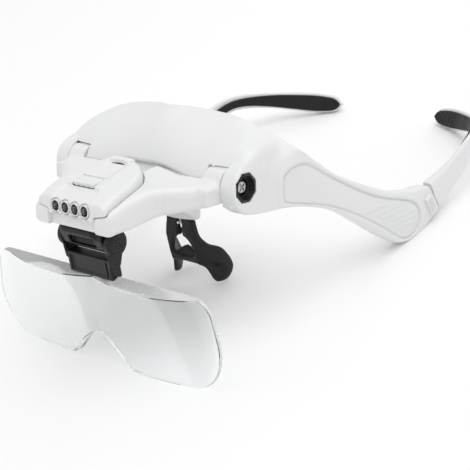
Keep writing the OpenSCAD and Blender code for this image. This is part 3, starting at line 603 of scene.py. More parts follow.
def panel():
    """The grip panel set into an arm, as a closed body: each cross-section runs from the
    panel's lower border to its upper border and back behind. Each point takes its sideways
    place from the arm's skin. The border is rounded, and ribs are rounded waves across the
    rear end that fade out before the border."""
    front, back = np.argmin(PANEL[:, 0]), np.argmax(PANEL[:, 0])
    rim = np.roll(PANEL, -front, 0)
    turn = (back - front) % len(rim)
    low, high = rim[:turn + 1], np.concatenate([rim[turn:], rim[:1]])[::-1]
    if low[len(low) // 2, 1] > high[len(high) // 2, 1]:
        low, high = high, low
    t = 0.5 - 0.5 * np.cos(math.pi * np.linspace(0.004, 0.996, 260))

    def along(chain):
        run = np.concatenate([[0], np.cumsum(np.linalg.norm(np.diff(chain, axis=0), axis=-1))])
        return np.stack([np.interp(t * run[-1], run, chain[:, i]) for i in (0, 1)], -1)
    low, high = along(low), along(high)
    w = 0.5 - 0.5 * np.cos(math.pi * np.linspace(0, 1, 72))
    flat = low[:, None] + (high - low)[:, None] * w[:, None]
    d = -outline(flat[..., 0].ravel(), flat[..., 1].ravel(), PANEL).reshape(flat.shape[:2])
    p = skin_x(flat[..., 0], flat[..., 1])
    a = math.radians(9)
    across = -flat[..., 0] * math.sin(a) + flat[..., 1] * math.cos(a)
    wave = (0.5 + 0.5 * np.cos(2 * math.pi * (across + 23.55) / 2.42)) ** 1.5
    wave = wave * (across < -22.2) * (across > -39.6) * smooth(d, 1.8, 3.2)
    depth = 0.5 + 0.5 * (1 - smooth(d, 0.0, 1.0)) - 0.45 * wave
    top = p + depth[..., None] * inward(p)
    under = p[:, ::-12] + 1.45 * inward(p[:, ::-12])
    return tube(np.concatenate([top, under], 1), flip=True)


put_pair("grip_panel_", *panel(), white, "headband", "arm_panel_")

# ---------------- front frame
FRAME_HALF = [
    [19.6, 0.2], [21.2, 0.8], [22.1, 2.2], [22.5, 4.5], [22.9, 8], [24.5, 14], [26.5, 19.5],
    [28.5, 22], [32, 24.5], [37.8, 28.5], [42.2, 32], [43.4, 35.5], [43.4, 50]]
LAMP_HALF = [[19, -3], [19.2, 8], [19, 16], [18, 20.5], [16.1, 25], [13.4, 28.4], [9.2, 31.6],
             [4.6, 33]]
FRAME_PLAN, LAMP_PLAN = (np.concatenate([half, (np.array(half) * [-1, 1])[::-1]])
                         for half in (FRAME_HALF, LAMP_HALF))
FRAME_TOP = np.array([
    [-14, 0.6], [4, 0.6], [12, 1.1], [17, 1.2], [20, 1.0], [24, 0.5], [27, -0.3], [30, -1.0],
    [33, -1.6], [36, -1.9], [39, -2.1], [60, -2.1]])


def front_frame(p):
    """The beak-shaped frame: its plan outline and its side profile, which rises to a roof
    behind the lamp, are drawn through each other with soft edges. The hinge barrels are
    blended on, and the bay, the underside and the grooves are cut out."""
    q, x, y, z = folded(p)
    b, c = from_beak(p)[:, 1:].T
    plan = outline(p[:, 0], y, FRAME_PLAN)
    top = np.interp(b, FRAME_TOP[:, 0], FRAME_TOP[:, 1])
    ridge_top = np.interp(b, [20, 26, 30, 36, 42], [0.9, 1.2, 1.2, 0.3, -0.9])
    ridge_top = ridge_top - 0.6 * np.clip(10 - x, 0, 6)
    roof = np.clip((25 - x) / 14, 0, 1) * smooth(b, 22, 28)
    top = top + (np.maximum(ridge_top, top - 3) - top) * roof
    body = both(plan, (c - top) * 0.95, 4.2)
    body = both(body, -10 + 1.4 * (1 - smooth(b, 0, 9)) - c, 2.6)
    body = both(body, b - 39.2 - 2.3 * (x < 18), 0.9)
    pivot = np.hypot(y - PIVOT_Y, z - PIVOT_Z)
    body = join(body, both(pivot - BARREL_R, x - BARREL_X, 0.5), 0.6)
    ear = both(pivot - 6.9, np.maximum(34.2 - x, x - 43.4), 0.6)
    ear = both(ear, z - 15.1, 1.0)
    neck = block(q, (38.8, 37, 4.9), (4.6, 6.6, 3.3), 0.8)
    body = join(body, join(ear, neck, 1.5), 1.2)
    arm_up = limb(q * [0, 1, 1], (0, 38, 3.5), (0, 48, -4.6), 2.2, 2.1)
    arm_down = limb(q * [0, 1, 1], (0, 48, -4.6), (0, 61, -11.6), 2.1, 2.1)
    carrier = both(join(arm_up, arm_down, 1.5), x - 9.6, 1.5)
    boss = both(np.hypot(x / 10.2, (y - 61) / 4.6) * 4.6 - 4.6, np.abs(z + 11.6) - 2.4, 1.2)
    body = join(body, join(carrier, boss, 1.2), 2.0)
    # the bay that the lamp slides in
    bay_plan = outline(p[:, 0], b, LAMP_PLAN) - 0.3
    bay = both(both(bay_plan, x - BAY_X, 0.6), -3.8 - c, 0.5)
    wings = both(np.minimum(bay_plan, np.maximum(x - 19.3, b - 2)),
                 -2.2 + 0.2 * (x - BAY_X) - c, 0.4)
    body = less(body, np.minimum(bay, wings), 0.5)
    body = less(body, np.maximum(x - BAY_X, y - 2.2), 0.5)
    # hollow underside, left solid over the hinge block
    under = np.maximum(np.maximum(plan + 2.2, c + 5.7), b - 33.5)
    under = np.maximum(under, -np.maximum(x - BAY_X, y - 16))
    body = less(body, under, 0.5)
    body = less(body, np.maximum(np.maximum(x - BAY_X, np.abs(y - 6) - 11), z + 8.2), 0.4)
    # room round the pivot for the hood's lower edge, and the pivot's own bores
    groove = np.maximum(pivot - 6.4, np.maximum(BARREL_X - x, x - 34.2))
    body = less(body, groove, 0.4)
    sweep = np.maximum(np.maximum(pivot - 7.6, BARREL_R - pivot), np.maximum(x - 24, 8.4 - z))
    body = less(body, np.maximum(sweep, y - 50), 0.3)
    body = less(body, bar(q, PIVOT_Y, PIVOT_Z, PIVOT_BORE, 35, 50), 0.2)
    return less(body, bar(q, PIVOT_Y, PIVOT_Z, 3.6, 31, 39.2), 0.2)


put("beak_frame", *net(front_frame, (-45, -4, -17), (45, 67, 18), 0.5), white, "front_frame",
    ["front_frame"])

# ---------------- lamp
LED_X = np.array([-8.25, -2.75, 2.75, 8.25])   # a 5.5 mm pitch, which sets the part's scale


def lamp_top(x, b):
    """Height of the lamp's upper surface: it falls from the middle to the wings, to the front
    and to the rear, and a fan before the button is pressed in between two ridges."""
    x = np.abs(x)
    top = 5.0 - 0.011 * np.maximum(x - 8, 0) ** 2 - 0.002 * np.maximum(b - 21, 0) ** 2
    top = top - 1.9 * (np.clip(9.6 - b, 0, 12) / 9.6) ** 1.2
    plateau = (1 - smooth(x, 6.9, 7.5)) * smooth(b, 9.2, 9.7)
    wide = 9.0 + 0.3 * np.clip(10.5 - b, 0, 5)
    fan = (1 - smooth(x, wide - 1.2, wide + 0.2)) * (1 - smooth(b, 8.7, 9.6))
    shoulder = np.exp(-((x - 8.9) / 0.5) ** 2) * smooth(b, 8, 10) * (1 - smooth(b, 26, 30))
    return top + 0.62 * plateau - 0.75 * fan + 0.22 * shoulder


def lamp_form(p, grow=0.0, edge=2.2):
    """The lamp's outer form: its plan outline, its underside with the step below the wings,
    its upper surface and its front, cut square to the lights."""
    _, x, b, c = folded(from_beak(p))
    plan = outline(p[:, 0], b, LAMP_PLAN) - grow
    low = np.maximum(-3.5 - c, np.minimum(-1.9 + 0.2 * (x - 12.9) - c, x - 12.9)) - grow
    form = both(both(plan, (c - lamp_top(x, b)) * 0.95 - grow, edge), low, 0.4)
    form = both(form, -p[:, 1] - grow, 0.9)
    return less(form, np.maximum(13.5 - x, p[:, 1] - 0.3 + grow), 0.5)


def lamp_shell(p):
    """Both shells of the lamp: the outer form with pockets round the lights, a slit in the
    lower lip and the seats of the button and the cover."""
    _, x, b, c = folded(from_beak(p))
    form = lamp_form(p)
    form = less(form, both(both(x - 6.3, np.abs(b - 12.3) - 3.0, 0.4), 3.9 - c), 0.2)
    form = less(form, both(both(x - 6.6, 15.8 - b, 0.3), 4.1 - c), 0.12)
    # at each light a pocket, a white rim in it, and the bores for the sleeve and the light
    d = np.hypot(np.abs(x - 5.5) - 2.75, p[:, 2])
    form = less(form, both(d - 3.05, p[:, 1] - 1.3, 0.3), 0.35)
    form = join(form, both(np.maximum(d - 2.52, 2.12 - d), np.abs(p[:, 1] - 0.9) - 1.2, 0.1), 0.1)
    form = less(form, np.maximum(d - 2.14, p[:, 1] - 3.05), 0.1)
    form = less(form, np.maximum(d - 1.6, p[:, 1] - 4.4), 0.1)
    lip = np.maximum(np.abs(p[:, 2] + 3.0) - 0.12, np.maximum(x - 10.5, p[:, 1] - 0.5))
    slit = block(p, (-6.2, 0.2, -3.0), (2.2, 0.9, 0.3), 0.1)
    form = less(form, np.minimum(lip, slit), 0.1)
    inner = np.maximum(lamp_form(p, -1.2, 0.5), 2.6 - p[:, 1])
    return less(form, np.maximum(inner, c - 4.0), 0.3)


put("lamp_shells", *net(lamp_shell, (-20.5, -1, -5), (20.5, 34, 20), 0.29), white, "lamp",
    ["lamp_upper_shell", "lamp_lower_shell"])


def cover(p):
    """The battery cover: the rear of the plateau, with a crescent thumb recess."""
    _, x, b, c = folded(from_beak(p))
    form = both(lamp_form(p, 0.12, 0.6), both(x - 6.45, 16.0 - b, 1.0), 0.35)
    form = both(form, 4.25 - c, 0.15)
    thumb = np.sqrt((x / 6.4) ** 2 + ((b - 28.4) / 2.3) ** 2 + ((c - 6.2) / 2.3) ** 2) - 1
    return less(form, np.maximum(thumb * 2, 27.2 - b), 0.25)


put("battery_cover_lid", *net(cover, (-8, 13, 4), (8, 34, 20), 0.25), white, "battery_cover",
    ["battery_cover"])


def button(p):
    """The switch button: a dished pad with a wavy front lip and its short stem."""
    k, x, b, c = folded(from_beak(p))
    wave = 0.22 * np.cos(2 * math.pi * x / 2.9)
    pad = block(k - np.stack([0 * x, 0.5 * wave * (b < 12), 0 * x], -1), (0, 12.35, 5.2),
                (6, 2.75, 0.9), 0.35)
    dish = np.hypot(b - 13.4, c - 12.6) - 7.0
    stem = block(k, (0, 12.2, 4.6), (1.2, 1.2, 0.4), 0.1)
    return join(less(pad, dish, 0.3), stem, 0.2)


put("power_button", *net(button, (-7, 5.5, 5), (7, 16, 12), 0.22), white, "switch_button",
    ["switch_button"])


def spun(profile):
    """Rings of a profile of radii and heights turned about the Y axis."""
    a = np.linspace(0, 2 * math.pi, 32, endpoint=False)
    r, h = np.array(profile).T[..., None]
    return np.stack([r * np.cos(a), h + 0 * a, r * np.sin(a)], -1)


def four(points, faces):
    """One mesh with a copy of a body at each of the four lights."""
    count = len(points)
    return (np.concatenate([points + [x, 0, 0] for x in LED_X]),
            [[i + k * count for i in f] for k in range(len(LED_X)) for f in faces])


arc = np.linspace(0, math.pi / 2, 10)
round_front = np.stack([1.5 * np.cos(arc), 1 - 1.5 * np.sin(arc)], -1)[:-1]
light = spun([[0.3, 4.25], [1.45, 4.25], [1.5, 4.1], *round_front, [0.05, -0.5]])
put("lights", *four(*tube(light)), dome, "lamp", ["lamp_leds"])
sleeve = spun([[1.52, 0.9], [1.52, 0.55], [1.7, 0.3], [1.95, 0.3], [2.12, 0.5], [2.14, 3.0],
               [1.52, 3.0]])
sleeve_faces = sheet_faces(len(sleeve), 32, True, True)[:, ::-1].tolist()
put("light_sleeves", *four(sleeve.reshape(-1, 3), sleeve_faces), black, "lamp", ["led_sleeves"])

# ---------------- lens
def hull(points):
    """Corners of the convex outline round flat points, taken in order round their middle."""
    p = sorted(map(tuple, np.round(points, 4)))
    halves = []
    for run in (p, p[::-1]):
        half = []
        for q in run:
            while len(half) > 1 and ((half[-1][0] - half[-2][0]) * (q[1] - half[-2][1])
                                     <= (half[-1][1] - half[-2][1]) * (q[0] - half[-2][0])):
                half.pop()
            half.append(q)
        halves += half[:-1]
    return np.array(halves)


def circle(u, v, r, n=48):
    a = np.linspace(0, 2 * math.pi, n, endpoint=False)
    return np.stack([u + r * np.cos(a), v + r * np.sin(a)], -1)


LENS_PLAN = hull(np.concatenate([
    circle(53.1, -9, 9), circle(44, -20, 19.9), circle(35.2, -6.6, 32, 96)[52:84],
    circle(22, -33.6, 5), [[-20, 0], [-20, -26], [8, 0], [8, -26]]]))
LENS_PLAN[:, 1] = np.clip(LENS_PLAN[:, 1], -38.6, 0)
NOTCH = [[0, -25.4], [2.4, -25.8], [6, -28], [9, -30.2], [12, -32.7], [14.4, -35.4],
         [16.2, -38.4]]


def to_lens(p):
    """Worn points in the lens's own frame."""
    return turn_x(p - LENS_AT, -LENS_LEAN)


def to_holder(p):
    """Worn points in the frame of the holder's box."""
    return turn_x(p - HOLDER_AT, -HOLDER_LEAN)


def lens_face(x, z):
    """Depth of the lens's front: two spheres of 112 mm that meet in the crease at X 0, kept
    1.6 mm thick toward the border."""
    return join(105 - np.sqrt(112 ** 2 - (np.abs(x) - 25) ** 2 - (z + 19) ** 2), -1.6, 1.2)


def lens_border():
    """Half the lens outline from the middle of the top edge round to the top of the notch:
    the convex outline and the notch in one run, its corners softened by a sliding mean."""
    right = LENS_PLAN[LENS_PLAN[:, 0] > 20][::-1]
    half = np.concatenate([[[0, 0]], right, NOTCH[::-1]])
    full = np.concatenate([half, half[-2:0:-1] * [-1, 1]])
    ring = np.concatenate([full, full[:1]])
    run = np.concatenate([[0], np.cumsum(np.linalg.norm(np.diff(ring, axis=0), axis=-1))])
    t = np.linspace(0, run[-1], 961)[:-1]
    even = np.stack([np.interp(t, run, ring[:, i]) for i in (0, 1)], -1)
    near = np.arange(-3, 4)
    soft = sum(np.roll(even, k, 0) * (4 - abs(k)) for k in near)[:481] / 16
    soft[[0, -1], 0] = 0
    return soft


def weld(points, faces):
    """Joins points that lie on each other and drops the faces that this closes up."""
    _, first, same = np.unique(np.round(points, 4), axis=0, return_index=True,
                               return_inverse=True)
    faces = same.ravel()[np.asarray(faces)]
    keep = (faces != np.roll(faces, 1, 1)).sum(1)
    quads = faces[keep == 4].tolist()
    thirds = faces[keep == 3]
    drop = thirds == np.roll(thirds, 1, 1)
    return points[first], quads + thirds[~drop].reshape(-1, 3).tolist()


def lens():
    """The lens as a grid: from the crease in front out to the border, over the rounded rim,
    down the edge, which slopes back along the top, and in along the flat rear face. Depth
    near the border follows the quarter circle of the rounding."""
    behind = lens_border()
    ahead = behind.copy()
    for _ in range(3):
        ahead[:, 1] = np.minimum(behind[:, 1], math.tan(math.radians(22))
                                 * (lens_face(ahead[:, 0], ahead[:, 1])))
    t = np.linspace(0, 1, len(ahead))
    share = np.concatenate([np.linspace(0, 0.05, 13), np.linspace(0.05, 1, 36)[1:]])

    def face(border, r, front):
        crease = np.stack([0 * t, border[0, 1] + (border[-1, 1] - border[0, 1]) * t ** 1.5], -1)
        flat = border + (crease - border) * share[:, None, None]
        ring = np.concatenate([border, border[-2:0:-1] * [-1, 1]])
        d = np.minimum(-outline(flat[..., 0].ravel(), flat[..., 1].ravel(), ring), r)
        d = np.maximum(d, 0).reshape(flat.shape[:2])
        d[0] = 0
        y = r - np.sqrt(np.maximum(r * r - (r - d) ** 2, 0))
        y = lens_face(flat[..., 0], flat[..., 1]) + y if front else -y
        return np.stack([flat[..., 0], y, flat[..., 1]], -1)
    front = face(ahead, 0.8, True)[::-1]
    rear = face(behind, 0.4, False)
    steps = np.linspace(0, 1, 8)[1:-1, None, None]
    grid = np.concatenate([front, front[-1] + (rear[0] - front[-1]) * steps, rear])
    points = grid.reshape(-1, 3)
    faces = sheet_faces(len(grid), len(t))
    points = np.concatenate([points, points * [-1, 1, 1]])
    faces = np.concatenate([faces, faces[:, ::-1] + grid.size // 3])
    points, faces = weld(points, faces)
    worn = turn_x(points, LENS_LEAN) + LENS_AT
    sunk = np.minimum(turn_x(worn - LENS_FOOT, -STAND_ANGLE)[:, 2:], 0)
    worn -= sunk * [0, -math.sin(STAND_ANGLE), math.cos(STAND_ANGLE)]
    return worn, faces


LENS = put("magnifier", *lens(), clear, "lens", ["lens"], sharp=20)
LENS.data.materials.append(clear_edge)
facing = np.empty(len(LENS.data.polygons) * 3)
LENS.data.polygons.foreach_get("normal", facing)
facing = turn_x(turn_x(facing.reshape(-1, 3), STAND_ANGLE), -LENS_LEAN)
LENS.data.polygons.foreach_set("material_index", (np.abs(facing[:, 1]) < 0.7).astype(int))


# ---------------- hinge block and holder
def block_field(p):
    """The hinge block under the frame: a round barrel, a hooded roll over its front and a
    recess across it."""
    q, x, y, z = folded(p)
    side = outline(y, z, [[4.2, -8.2], [15.6, -8.2], [15.6, -12], [14.8, -16], [6.8, -16],
                          [4.6, -12]])
    body = both(side, x - 11.9, 0.8)
    body = join(body, bar(p, HINGE_Y, HINGE_Z, 4.5, -11.9, 11.9, 0.5), 0.6)
    hood = both(limb(q * [0, 1, 1], (0, 4.4, -9.9), (0, 8, -9.4), 1.9, 1.9), x - 9.6, 1.6)
    body = join(body, hood, 1.0)
    body = less(body, block(q, (0, 3.5, -14.1), (7.6, 4.4, 1.5), 0.6), 0.4)
    body = less(body, both(np.hypot(x - 4.9, z + 12.4) - 0.9, y - 9), 0.2)
    return less(body, bar(p, HINGE_Y, HINGE_Z, 1.1, -13, 13), 0.1)


put("hinge_barrel", *net(block_field, (-13, 1.5, -19), (13, 17, -7.5), 0.3), black,
    "front_frame", ["hinge_block"])


def holder_field(p):
    """The lens holder: a box with a recessed front panel between two grooves, and stepped
    round cheeks on the hinge's ends."""
    q, x, y, z = folded(p)
    h = to_holder(q)
    box = block(h, (0, 2.75, -4.5), (12.5, 2.75, 4.5), 0.7)
    box = less(box, block(h, (0, -0.2, -4.3), (9.2, 0.6, 3.2), 0.4), 0.3)
    box = less(box, block(h, (10.3, 0, -4.5), (0.45, 0.7, 3.4), 0.2), 0.15)
    pivot = np.hypot(y - HINGE_Y, z - HINGE_Z)
    disc = both(pivot - 5.3, np.abs(x - 13.35) - 1.15, 0.4)
    step = 0.3 * np.cos(2 * math.pi * pivot / 1.35)
    disc = join(disc, both(pivot - 4.2, x - 14.75 - 0.5 * step, 0.3), 0.2)
    disc = both(disc, 12.2 - x, 0.2)
    web = both(outline(y, z, [[5.9, -14], [15.7, -14], [13.9, -23], [8.6, -23]]),
               np.abs(x - 12.7) - 0.5, 0.4)
    body = join(join(box, web, 0.6), disc, 0.5)
    socket = np.abs(to_lens(p) - [0, -1.1, 0.9]) - [9.2, 1.2, 4.9]
    body = less(body, socket.max(-1), 0.2)
    return less(body, both(pivot - 1.0, x - 14.2), 0.1)


put("lens_clamp", *net(holder_field, (-16, 4, -33), (16, 18, -7.5), 0.3), black, "lens_carrier",
    ["lens_holder"])

# ---------------- nose pad
NOSE_RIM = rounded([
    [-8, -13.9], [7.7, -13.9], [7.8, -16], [8, -18], [8.6, -21.5], [9.9, -24.2], [10.9, -25.6],
    [12.5, -26.2], [13.8, -27.6], [14.6, -30.3], [15.1, -33], [15.2, -36.5], [14.8, -39.6],
    [13.8, -42.2], [12.2, -42.8], [11.1, -41.2], [10, -38], [9, -36], [7.2, -34.7],
    [3, -34.3], [-8, -34.2]], 2)


def nose_field(p):
    """The soft nose pad: a curved sheet hung from its seat, with an arched window in the
    stem, two wings that bend back, a peaked bridge behind the window and a small dimple in
    each wing."""
    _, x, y, z = folded(p)
    edge = outline(x, z, NOSE_RIM)
    d = np.maximum(x - 7.5, 0)
    mid = np.interp(z, [-36, -30.5, -22.4, -14.7], [66, 63.8, 61.5, 61]) + 0.9 * d + 0.06 * d * d
    tilt = 1 / np.sqrt(1 + (0.9 + 0.12 * d) ** 2 * (x > 7.5))
    body = both(edge, np.abs(y - mid) * tilt - 1.3, 1.3)
    hole = outline(x, z, rounded([[-9, -22.2], [1.2, -22.2], [3, -22.8], [4.7, -24.6],
                                  [5.7, -26.6], [7.3, -31.6], [-9, -32.4]], 2))
    body = less(body, hole, 0.9)
    tent = outline(x, z, rounded([[-9, -34.2], [8.2, -34.4], [8, -32.6], [1, -26.6],
                                  [-9, -26.4]], 2))
    body = join(body, both(tent, np.abs(y - 65.3 + 0.08 * (z + 30)) - 1.2, 1.4), 1.0)
    dimple = np.sqrt((x - 12.3) ** 2 + (z + 34.6) ** 2 + (y - (mid - 1.9)) ** 2) - 0.9
    body = less(body, dimple, 0.3)
    return less(body, bar(p[:, [2, 0, 1]], 0, 61, 1.8, -25, -14.9, 0.2), 0.1)


put("nose_rest", *net(nose_field, (-19, 57, -45), (19, 85, -12.5), 0.4), rubber, "front_frame",
    ["nose_pad"])

# ---------------- temple tips
TIP_PATH = ARM_END + np.array([
    [-0.6, -6, -4.2], [-0.3, 0.3, 0.2], [0.6, 10, 6], [1.2, 18, 12.5], [1.2, 26, 18.3],
    [-0.8, 35, 22], [-5, 44, 23.4], [-13, 55, 23.5], [-23, 63.5, 23], [-33, 70, 22.5],
    [-42, 74, 22.3], [-46, 75.4, 22.3], [-50, 76.6, 22.3]])
TIP_HEIGHTS = np.array([14, 14, 11.5, 10, 8.6, 7.6, 7.4, 8, 9.4, 10, 8, 3.4, 2.0])
PAD_HEIGHTS = np.array([4, 4, 4, 4, 3.8, 3.8, 4.4, 6, 7.4, 8, 6, 2, 1.0])


def strip(s0, s1, heights, low, high, count, around, end_round, rings=False):
    """A bent strip along the tip's path: each section is a rounded oblong from the low to the
    high face, its height follows the stations, and both ends are drawn in roundly."""
    s = np.linspace(s0, s1, count)
    middle = curve(TIP_PATH, s)
    along = curve(TIP_PATH, s + 0.05) - curve(TIP_PATH, s - 0.05)
    along /= np.linalg.norm(along, axis=-1, keepdims=True)
    n = np.stack([-along[:, 1], along[:, 0], 0 * s], -1)
    n /= np.linalg.norm(n, axis=-1, keepdims=True)
    u = np.cross(along, n)
    u /= np.linalg.norm(u, axis=-1, keepdims=True)
    h = curve(heights[:, None], s)[:, 0] / 2
    length = np.concatenate([[0], np.cumsum(np.linalg.norm(np.diff(middle, axis=0), axis=-1))])
    total = length[-1]
    reach0 = np.clip(length / max(end_round[0], 1e-6), 0, 1)
    reach1 = np.clip((total - length) / max(end_round[1], 1e-6), 0, 1)
    h = h * np.sqrt(1 - (1 - reach0) ** 2) * np.sqrt(1 - (1 - reach1) ** 2)
    h = np.maximum(h, 0.05)
    o0, o1 = low(s), high(s)
    a = np.linspace(0, 2 * math.pi, around, endpoint=False)
    side = np.sign(np.cos(a)) * np.abs(np.cos(a)) ** 0.4
    lift = np.sign(np.sin(a)) * np.abs(np.sin(a)) ** 0.4
    across = h[:, None] * side
    depth = (o0 + o1)[:, None] / 2 + (o1 - o0)[:, None] / 2 * lift
    if rings:
        centre = np.interp(8.35, s, length)
        far = np.hypot(length[:, None] - centre, across)
        wave = 0.5 + 0.5 * np.cos(2 * math.pi * far / 1.85)
        depth = depth + 0.22 * (wave - 0.5) * (lift > 0.8) * (1 - smooth(far, 12, 15))
    return middle[:, None] + u[:, None] * across[..., None] + n[:, None] * depth[..., None]


def tip_thickness(s):
    return 2.6 + 2.4 * (1 - smooth(s, 0.6, 2.2))


points, faces = tube(strip(0.05, 9.95, TIP_HEIGHTS, lambda s: 0 * s, tip_thickness, 220, 40,
                           (0, 5)), flip=True)
tongue, tongue_faces = side_block([[-15, -4], [2, -4], [2, 4], [-15, 4]], -5.5, -3.1)
faces = faces + [[i + len(points) for i in f] for f in tongue_faces]
points = np.concatenate([points, turn_x(tongue, TIP_ANGLE) + ARM_END])
put_pair("temple_end_", points, faces, white, "temple_tip_", "temple_tip_", sharp=40)
pad = strip(2.36, 9.6, PAD_HEIGHTS, lambda s: 2.45 + 0 * s, lambda s: 4.4 + 0 * s, 420, 64,
            (3, 5), rings=True)
put_pair("grip_pad_", *tube(pad, flip=True), rubber, "temple_tip_", "tip_pad_")

# ---------------- pivots
BEZEL_X = 46.4


def bezel():
    """The octagonal bezel: rings from the octagon's edge over a rounded rim and down three
    steps to the screw's seat."""
    a = np.linspace(0, 2 * math.pi, 96, endpoint=False)
    eight = 6 * math.cos(math.pi / 8) / np.cos((a + math.pi / 8) % (math.pi / 4) - math.pi / 8)
    profile = [
        (0, 6, 1), (4.3, 6, 1), (4.75, 5.85, 1), (5.0, 5.45, 0.9), (5.0, 5.1, 0.4),
        (4.85, 4.75, 0.1), (4.6, 4.6, 0), (3.75, 4.5, 0), (3.6, 4.4, 0), (3.6, 4.1, 0),
        (3.45, 4.0, 0), (2.7, 3.95, 0), (2.6, 3.85, 0), (2.6, 3.5, 0), (2.45, 3.4, 0),
        (1.3, 3.35, 0), (1.2, 3.25, 0), (1.2, 1.55, 0), (0, 1.5, 0)]
    rings = []
    for x, r, share in profile:
        radius = r * (1 - share) + share * eight * r / 6
        rings.append(np.stack([BEZEL_X + x + 0 * a, PIVOT_Y + radius * np.cos(a),
                               PIVOT_Z + radius * np.sin(a)], -1))
    rings = np.array(rings)
    return rings.reshape(-1, 3), sheet_faces(len(rings), 96, True, True).tolist()


def pivot_screw(p):
    """A pan-headed screw with a cross slot, its shank running inward."""
    y, z = p[:, 1] - PIVOT_Y, p[:, 2] - PIVOT_Z
    head = both(np.hypot(y, z) - 2.6, np.abs(p[:, 0] - BEZEL_X - 2.0) - 0.8, 0.9)
    u, v = (y + z) * math.sqrt(0.5), (y - z) * math.sqrt(0.5)
    slot = np.minimum(np.maximum(np.abs(u) - 0.38, np.abs(v) - 1.7),
                      np.maximum(np.abs(v) - 0.38, np.abs(u) - 1.7))
    head = less(head, np.maximum(slot, BEZEL_X + 2.0 - p[:, 0]), 0.15)
    return join(head, bar(p, PIVOT_Y, PIVOT_Z, 1.5, 36.2, 48, 0.2), 0.2)


put_pair("octagon_bezel_", *bezel(), black, "headband", "pivot_bezel_", sharp=50)
points, faces = net(pivot_screw, (35.6, 41, 5), (49.6, 47, 11.4), 0.2)
faces = np.concatenate([faces, faces[:, ::-1] + len(points)])
put("cross_head_screws", np.concatenate([points, points * [-1, 1, 1]]), faces, steel,
    "headband", ["pivot_screws"])


def release(p):
    """The release button in the arm's end: a small block with three ribs across it."""
    k = turn_x(p - ARM_END, -TIP_ANGLE)
    body = block(k, (-0.7, -4, 0), (1.5, 2, 4.5), 0.35)
    for i in (-1, 0, 1):
        body = join(body, block(k, (0.95, -4 + 1.1 * i, 0), (0.25, 0.22, 3.4), 0.2), 0.15)
    return body


put_pair("release_", *net(release, (71, 130, -18), (77, 141, -2), 0.22), white,
         "release_button_", "release_button_")

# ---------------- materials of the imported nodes
for material, labels in (
        (white, "headband front_frame arm_panel_left arm_panel_right lamp_upper_shell"
                " lamp_lower_shell battery_cover switch_button temple_tip_left temple_tip_right"
                " release_button_left release_button_right"),
        (black, "pivot_washers switch_body led_sleeves hinge_block lens_holder pivot_bezel_left"
                " pivot_bezel_right"),
        (steel, "pivot_screws pivot_nuts nose_pad_screw block_screws hinge_pin lamp_screws"),
        (rubber, "nose_pad tip_pad_left tip_pad_right"), (clear, "lens"), (dome, "lamp_leds"),
        (green, "circuit_board"), (cell, "coin_cells"),
        (brass, "cell_contact_minus cell_contact_plus")):
    for label in labels.split():
        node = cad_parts[label]
        node.data.materials.clear()
        node.data.materials.append(material)

# ---------------- floor, lights and camera
FLOOR = 3.0                      # half its width, in metres
floor_mesh = bpy.data.meshes.new("floor")
floor_mesh.from_pydata([(-FLOOR, -FLOOR, 0), (FLOOR, -FLOOR, 0), (FLOOR, FLOOR, 0),
                        (-FLOOR, FLOOR, 0)], [], [(0, 1, 2, 3)])
floor = bpy.data.objects.new("floor", floor_mesh)
bpy.context.scene.collection.objects.link(floor)
paper = bpy.data.materials.new("paper")
paper.use_nodes = True
paper_inputs = paper.node_tree.nodes["Principled BSDF"].inputs
paper_inputs["Base Color"].default_value = (0.94, 0.94, 0.94, 1)
paper_inputs["Roughness"].default_value = 0.9
floor.data.materials.append(paper)

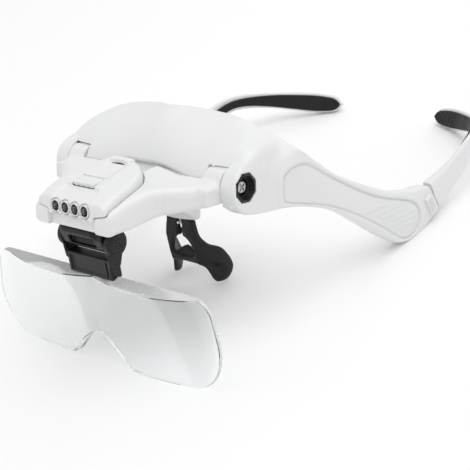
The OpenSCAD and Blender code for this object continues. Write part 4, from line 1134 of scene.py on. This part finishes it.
world = bpy.data.worlds.new("studio")
bpy.context.scene.world = world
world.use_nodes = True
tree = world.node_tree
link = tree.links.new
tree.nodes.clear()
rays = tree.nodes.new("ShaderNodeLightPath")
seen, soft = (tree.nodes.new("ShaderNodeBackground") for _ in range(2))
for node, strength in ((seen, 1.0), (soft, 0.7)):
    node.inputs["Color"].default_value = (1, 1, 1, 1)
    node.inputs["Strength"].default_value = strength
mixer = tree.nodes.new("ShaderNodeMixShader")
direct = tree.nodes.new("ShaderNodeMath")
direct.operation = "MAXIMUM"
link(rays.outputs["Is Camera Ray"], direct.inputs[0])
link(rays.outputs["Is Transmission Ray"], direct.inputs[1])
end = tree.nodes.new("ShaderNodeOutputWorld")
link(direct.outputs[0], mixer.inputs[0])
link(soft.outputs[0], mixer.inputs[1])
link(seen.outputs[0], mixer.inputs[2])
link(mixer.outputs[0], end.inputs["Surface"])


def area(name, place, target, size, power):
    """A soft square light at a place, turned toward a target."""
    lamp = bpy.data.lights.new(name, "AREA")
    lamp.shape, lamp.size, lamp.energy = "SQUARE", size, power
    made = bpy.data.objects.new(name, lamp)
    bpy.context.scene.collection.objects.link(made)
    made.location = place
    back = np.array(place, float) - np.array(target, float)
    back /= np.linalg.norm(back)
    right = np.cross((0, 0, 1), back)
    right /= np.linalg.norm(right)
    made.rotation_mode = "QUATERNION"
    made.rotation_quaternion = Matrix(np.stack(
        [right, np.cross(back, right), back], -1).tolist()).to_quaternion()


area("key", (0.35, 0.1, 1.5), (0, 0, 0.04), 1.5, 10.5)
area("fill", (-0.9, -1.1, 0.6), (0, 0, 0.04), 0.8, 1)
area("rear", (-0.2, 1.2, 0.9), (0, 0, 0.04), 1.0, 1.5)

scene = bpy.context.scene
scene.view_settings.view_transform = "Standard"
view = bpy.data.cameras.new("view")
view.sensor_width, view.lens = 36, 91.915
view.clip_start, view.clip_end = 0.05, 20
camera = bpy.data.objects.new("view", view)   # stands where the picture was taken from
scene.collection.objects.link(camera)
scene.camera = camera
azimuth, rise = math.radians(41.3773), math.radians(14.4846)
right = np.array([math.cos(azimuth), math.sin(azimuth), 0])
back = np.array([math.sin(azimuth) * math.cos(rise), -math.cos(azimuth) * math.cos(rise),
                 math.sin(rise)])
turned = turn_x(np.stack([right, np.cross(back, right), back]), -STAND_ANGLE)
camera.location = stand(np.array([342.6912, -293.3325, 104.9779])).tolist()
camera.rotation_mode = "QUATERNION"
camera.rotation_quaternion = Matrix(turned.T.tolist()).to_quaternion()
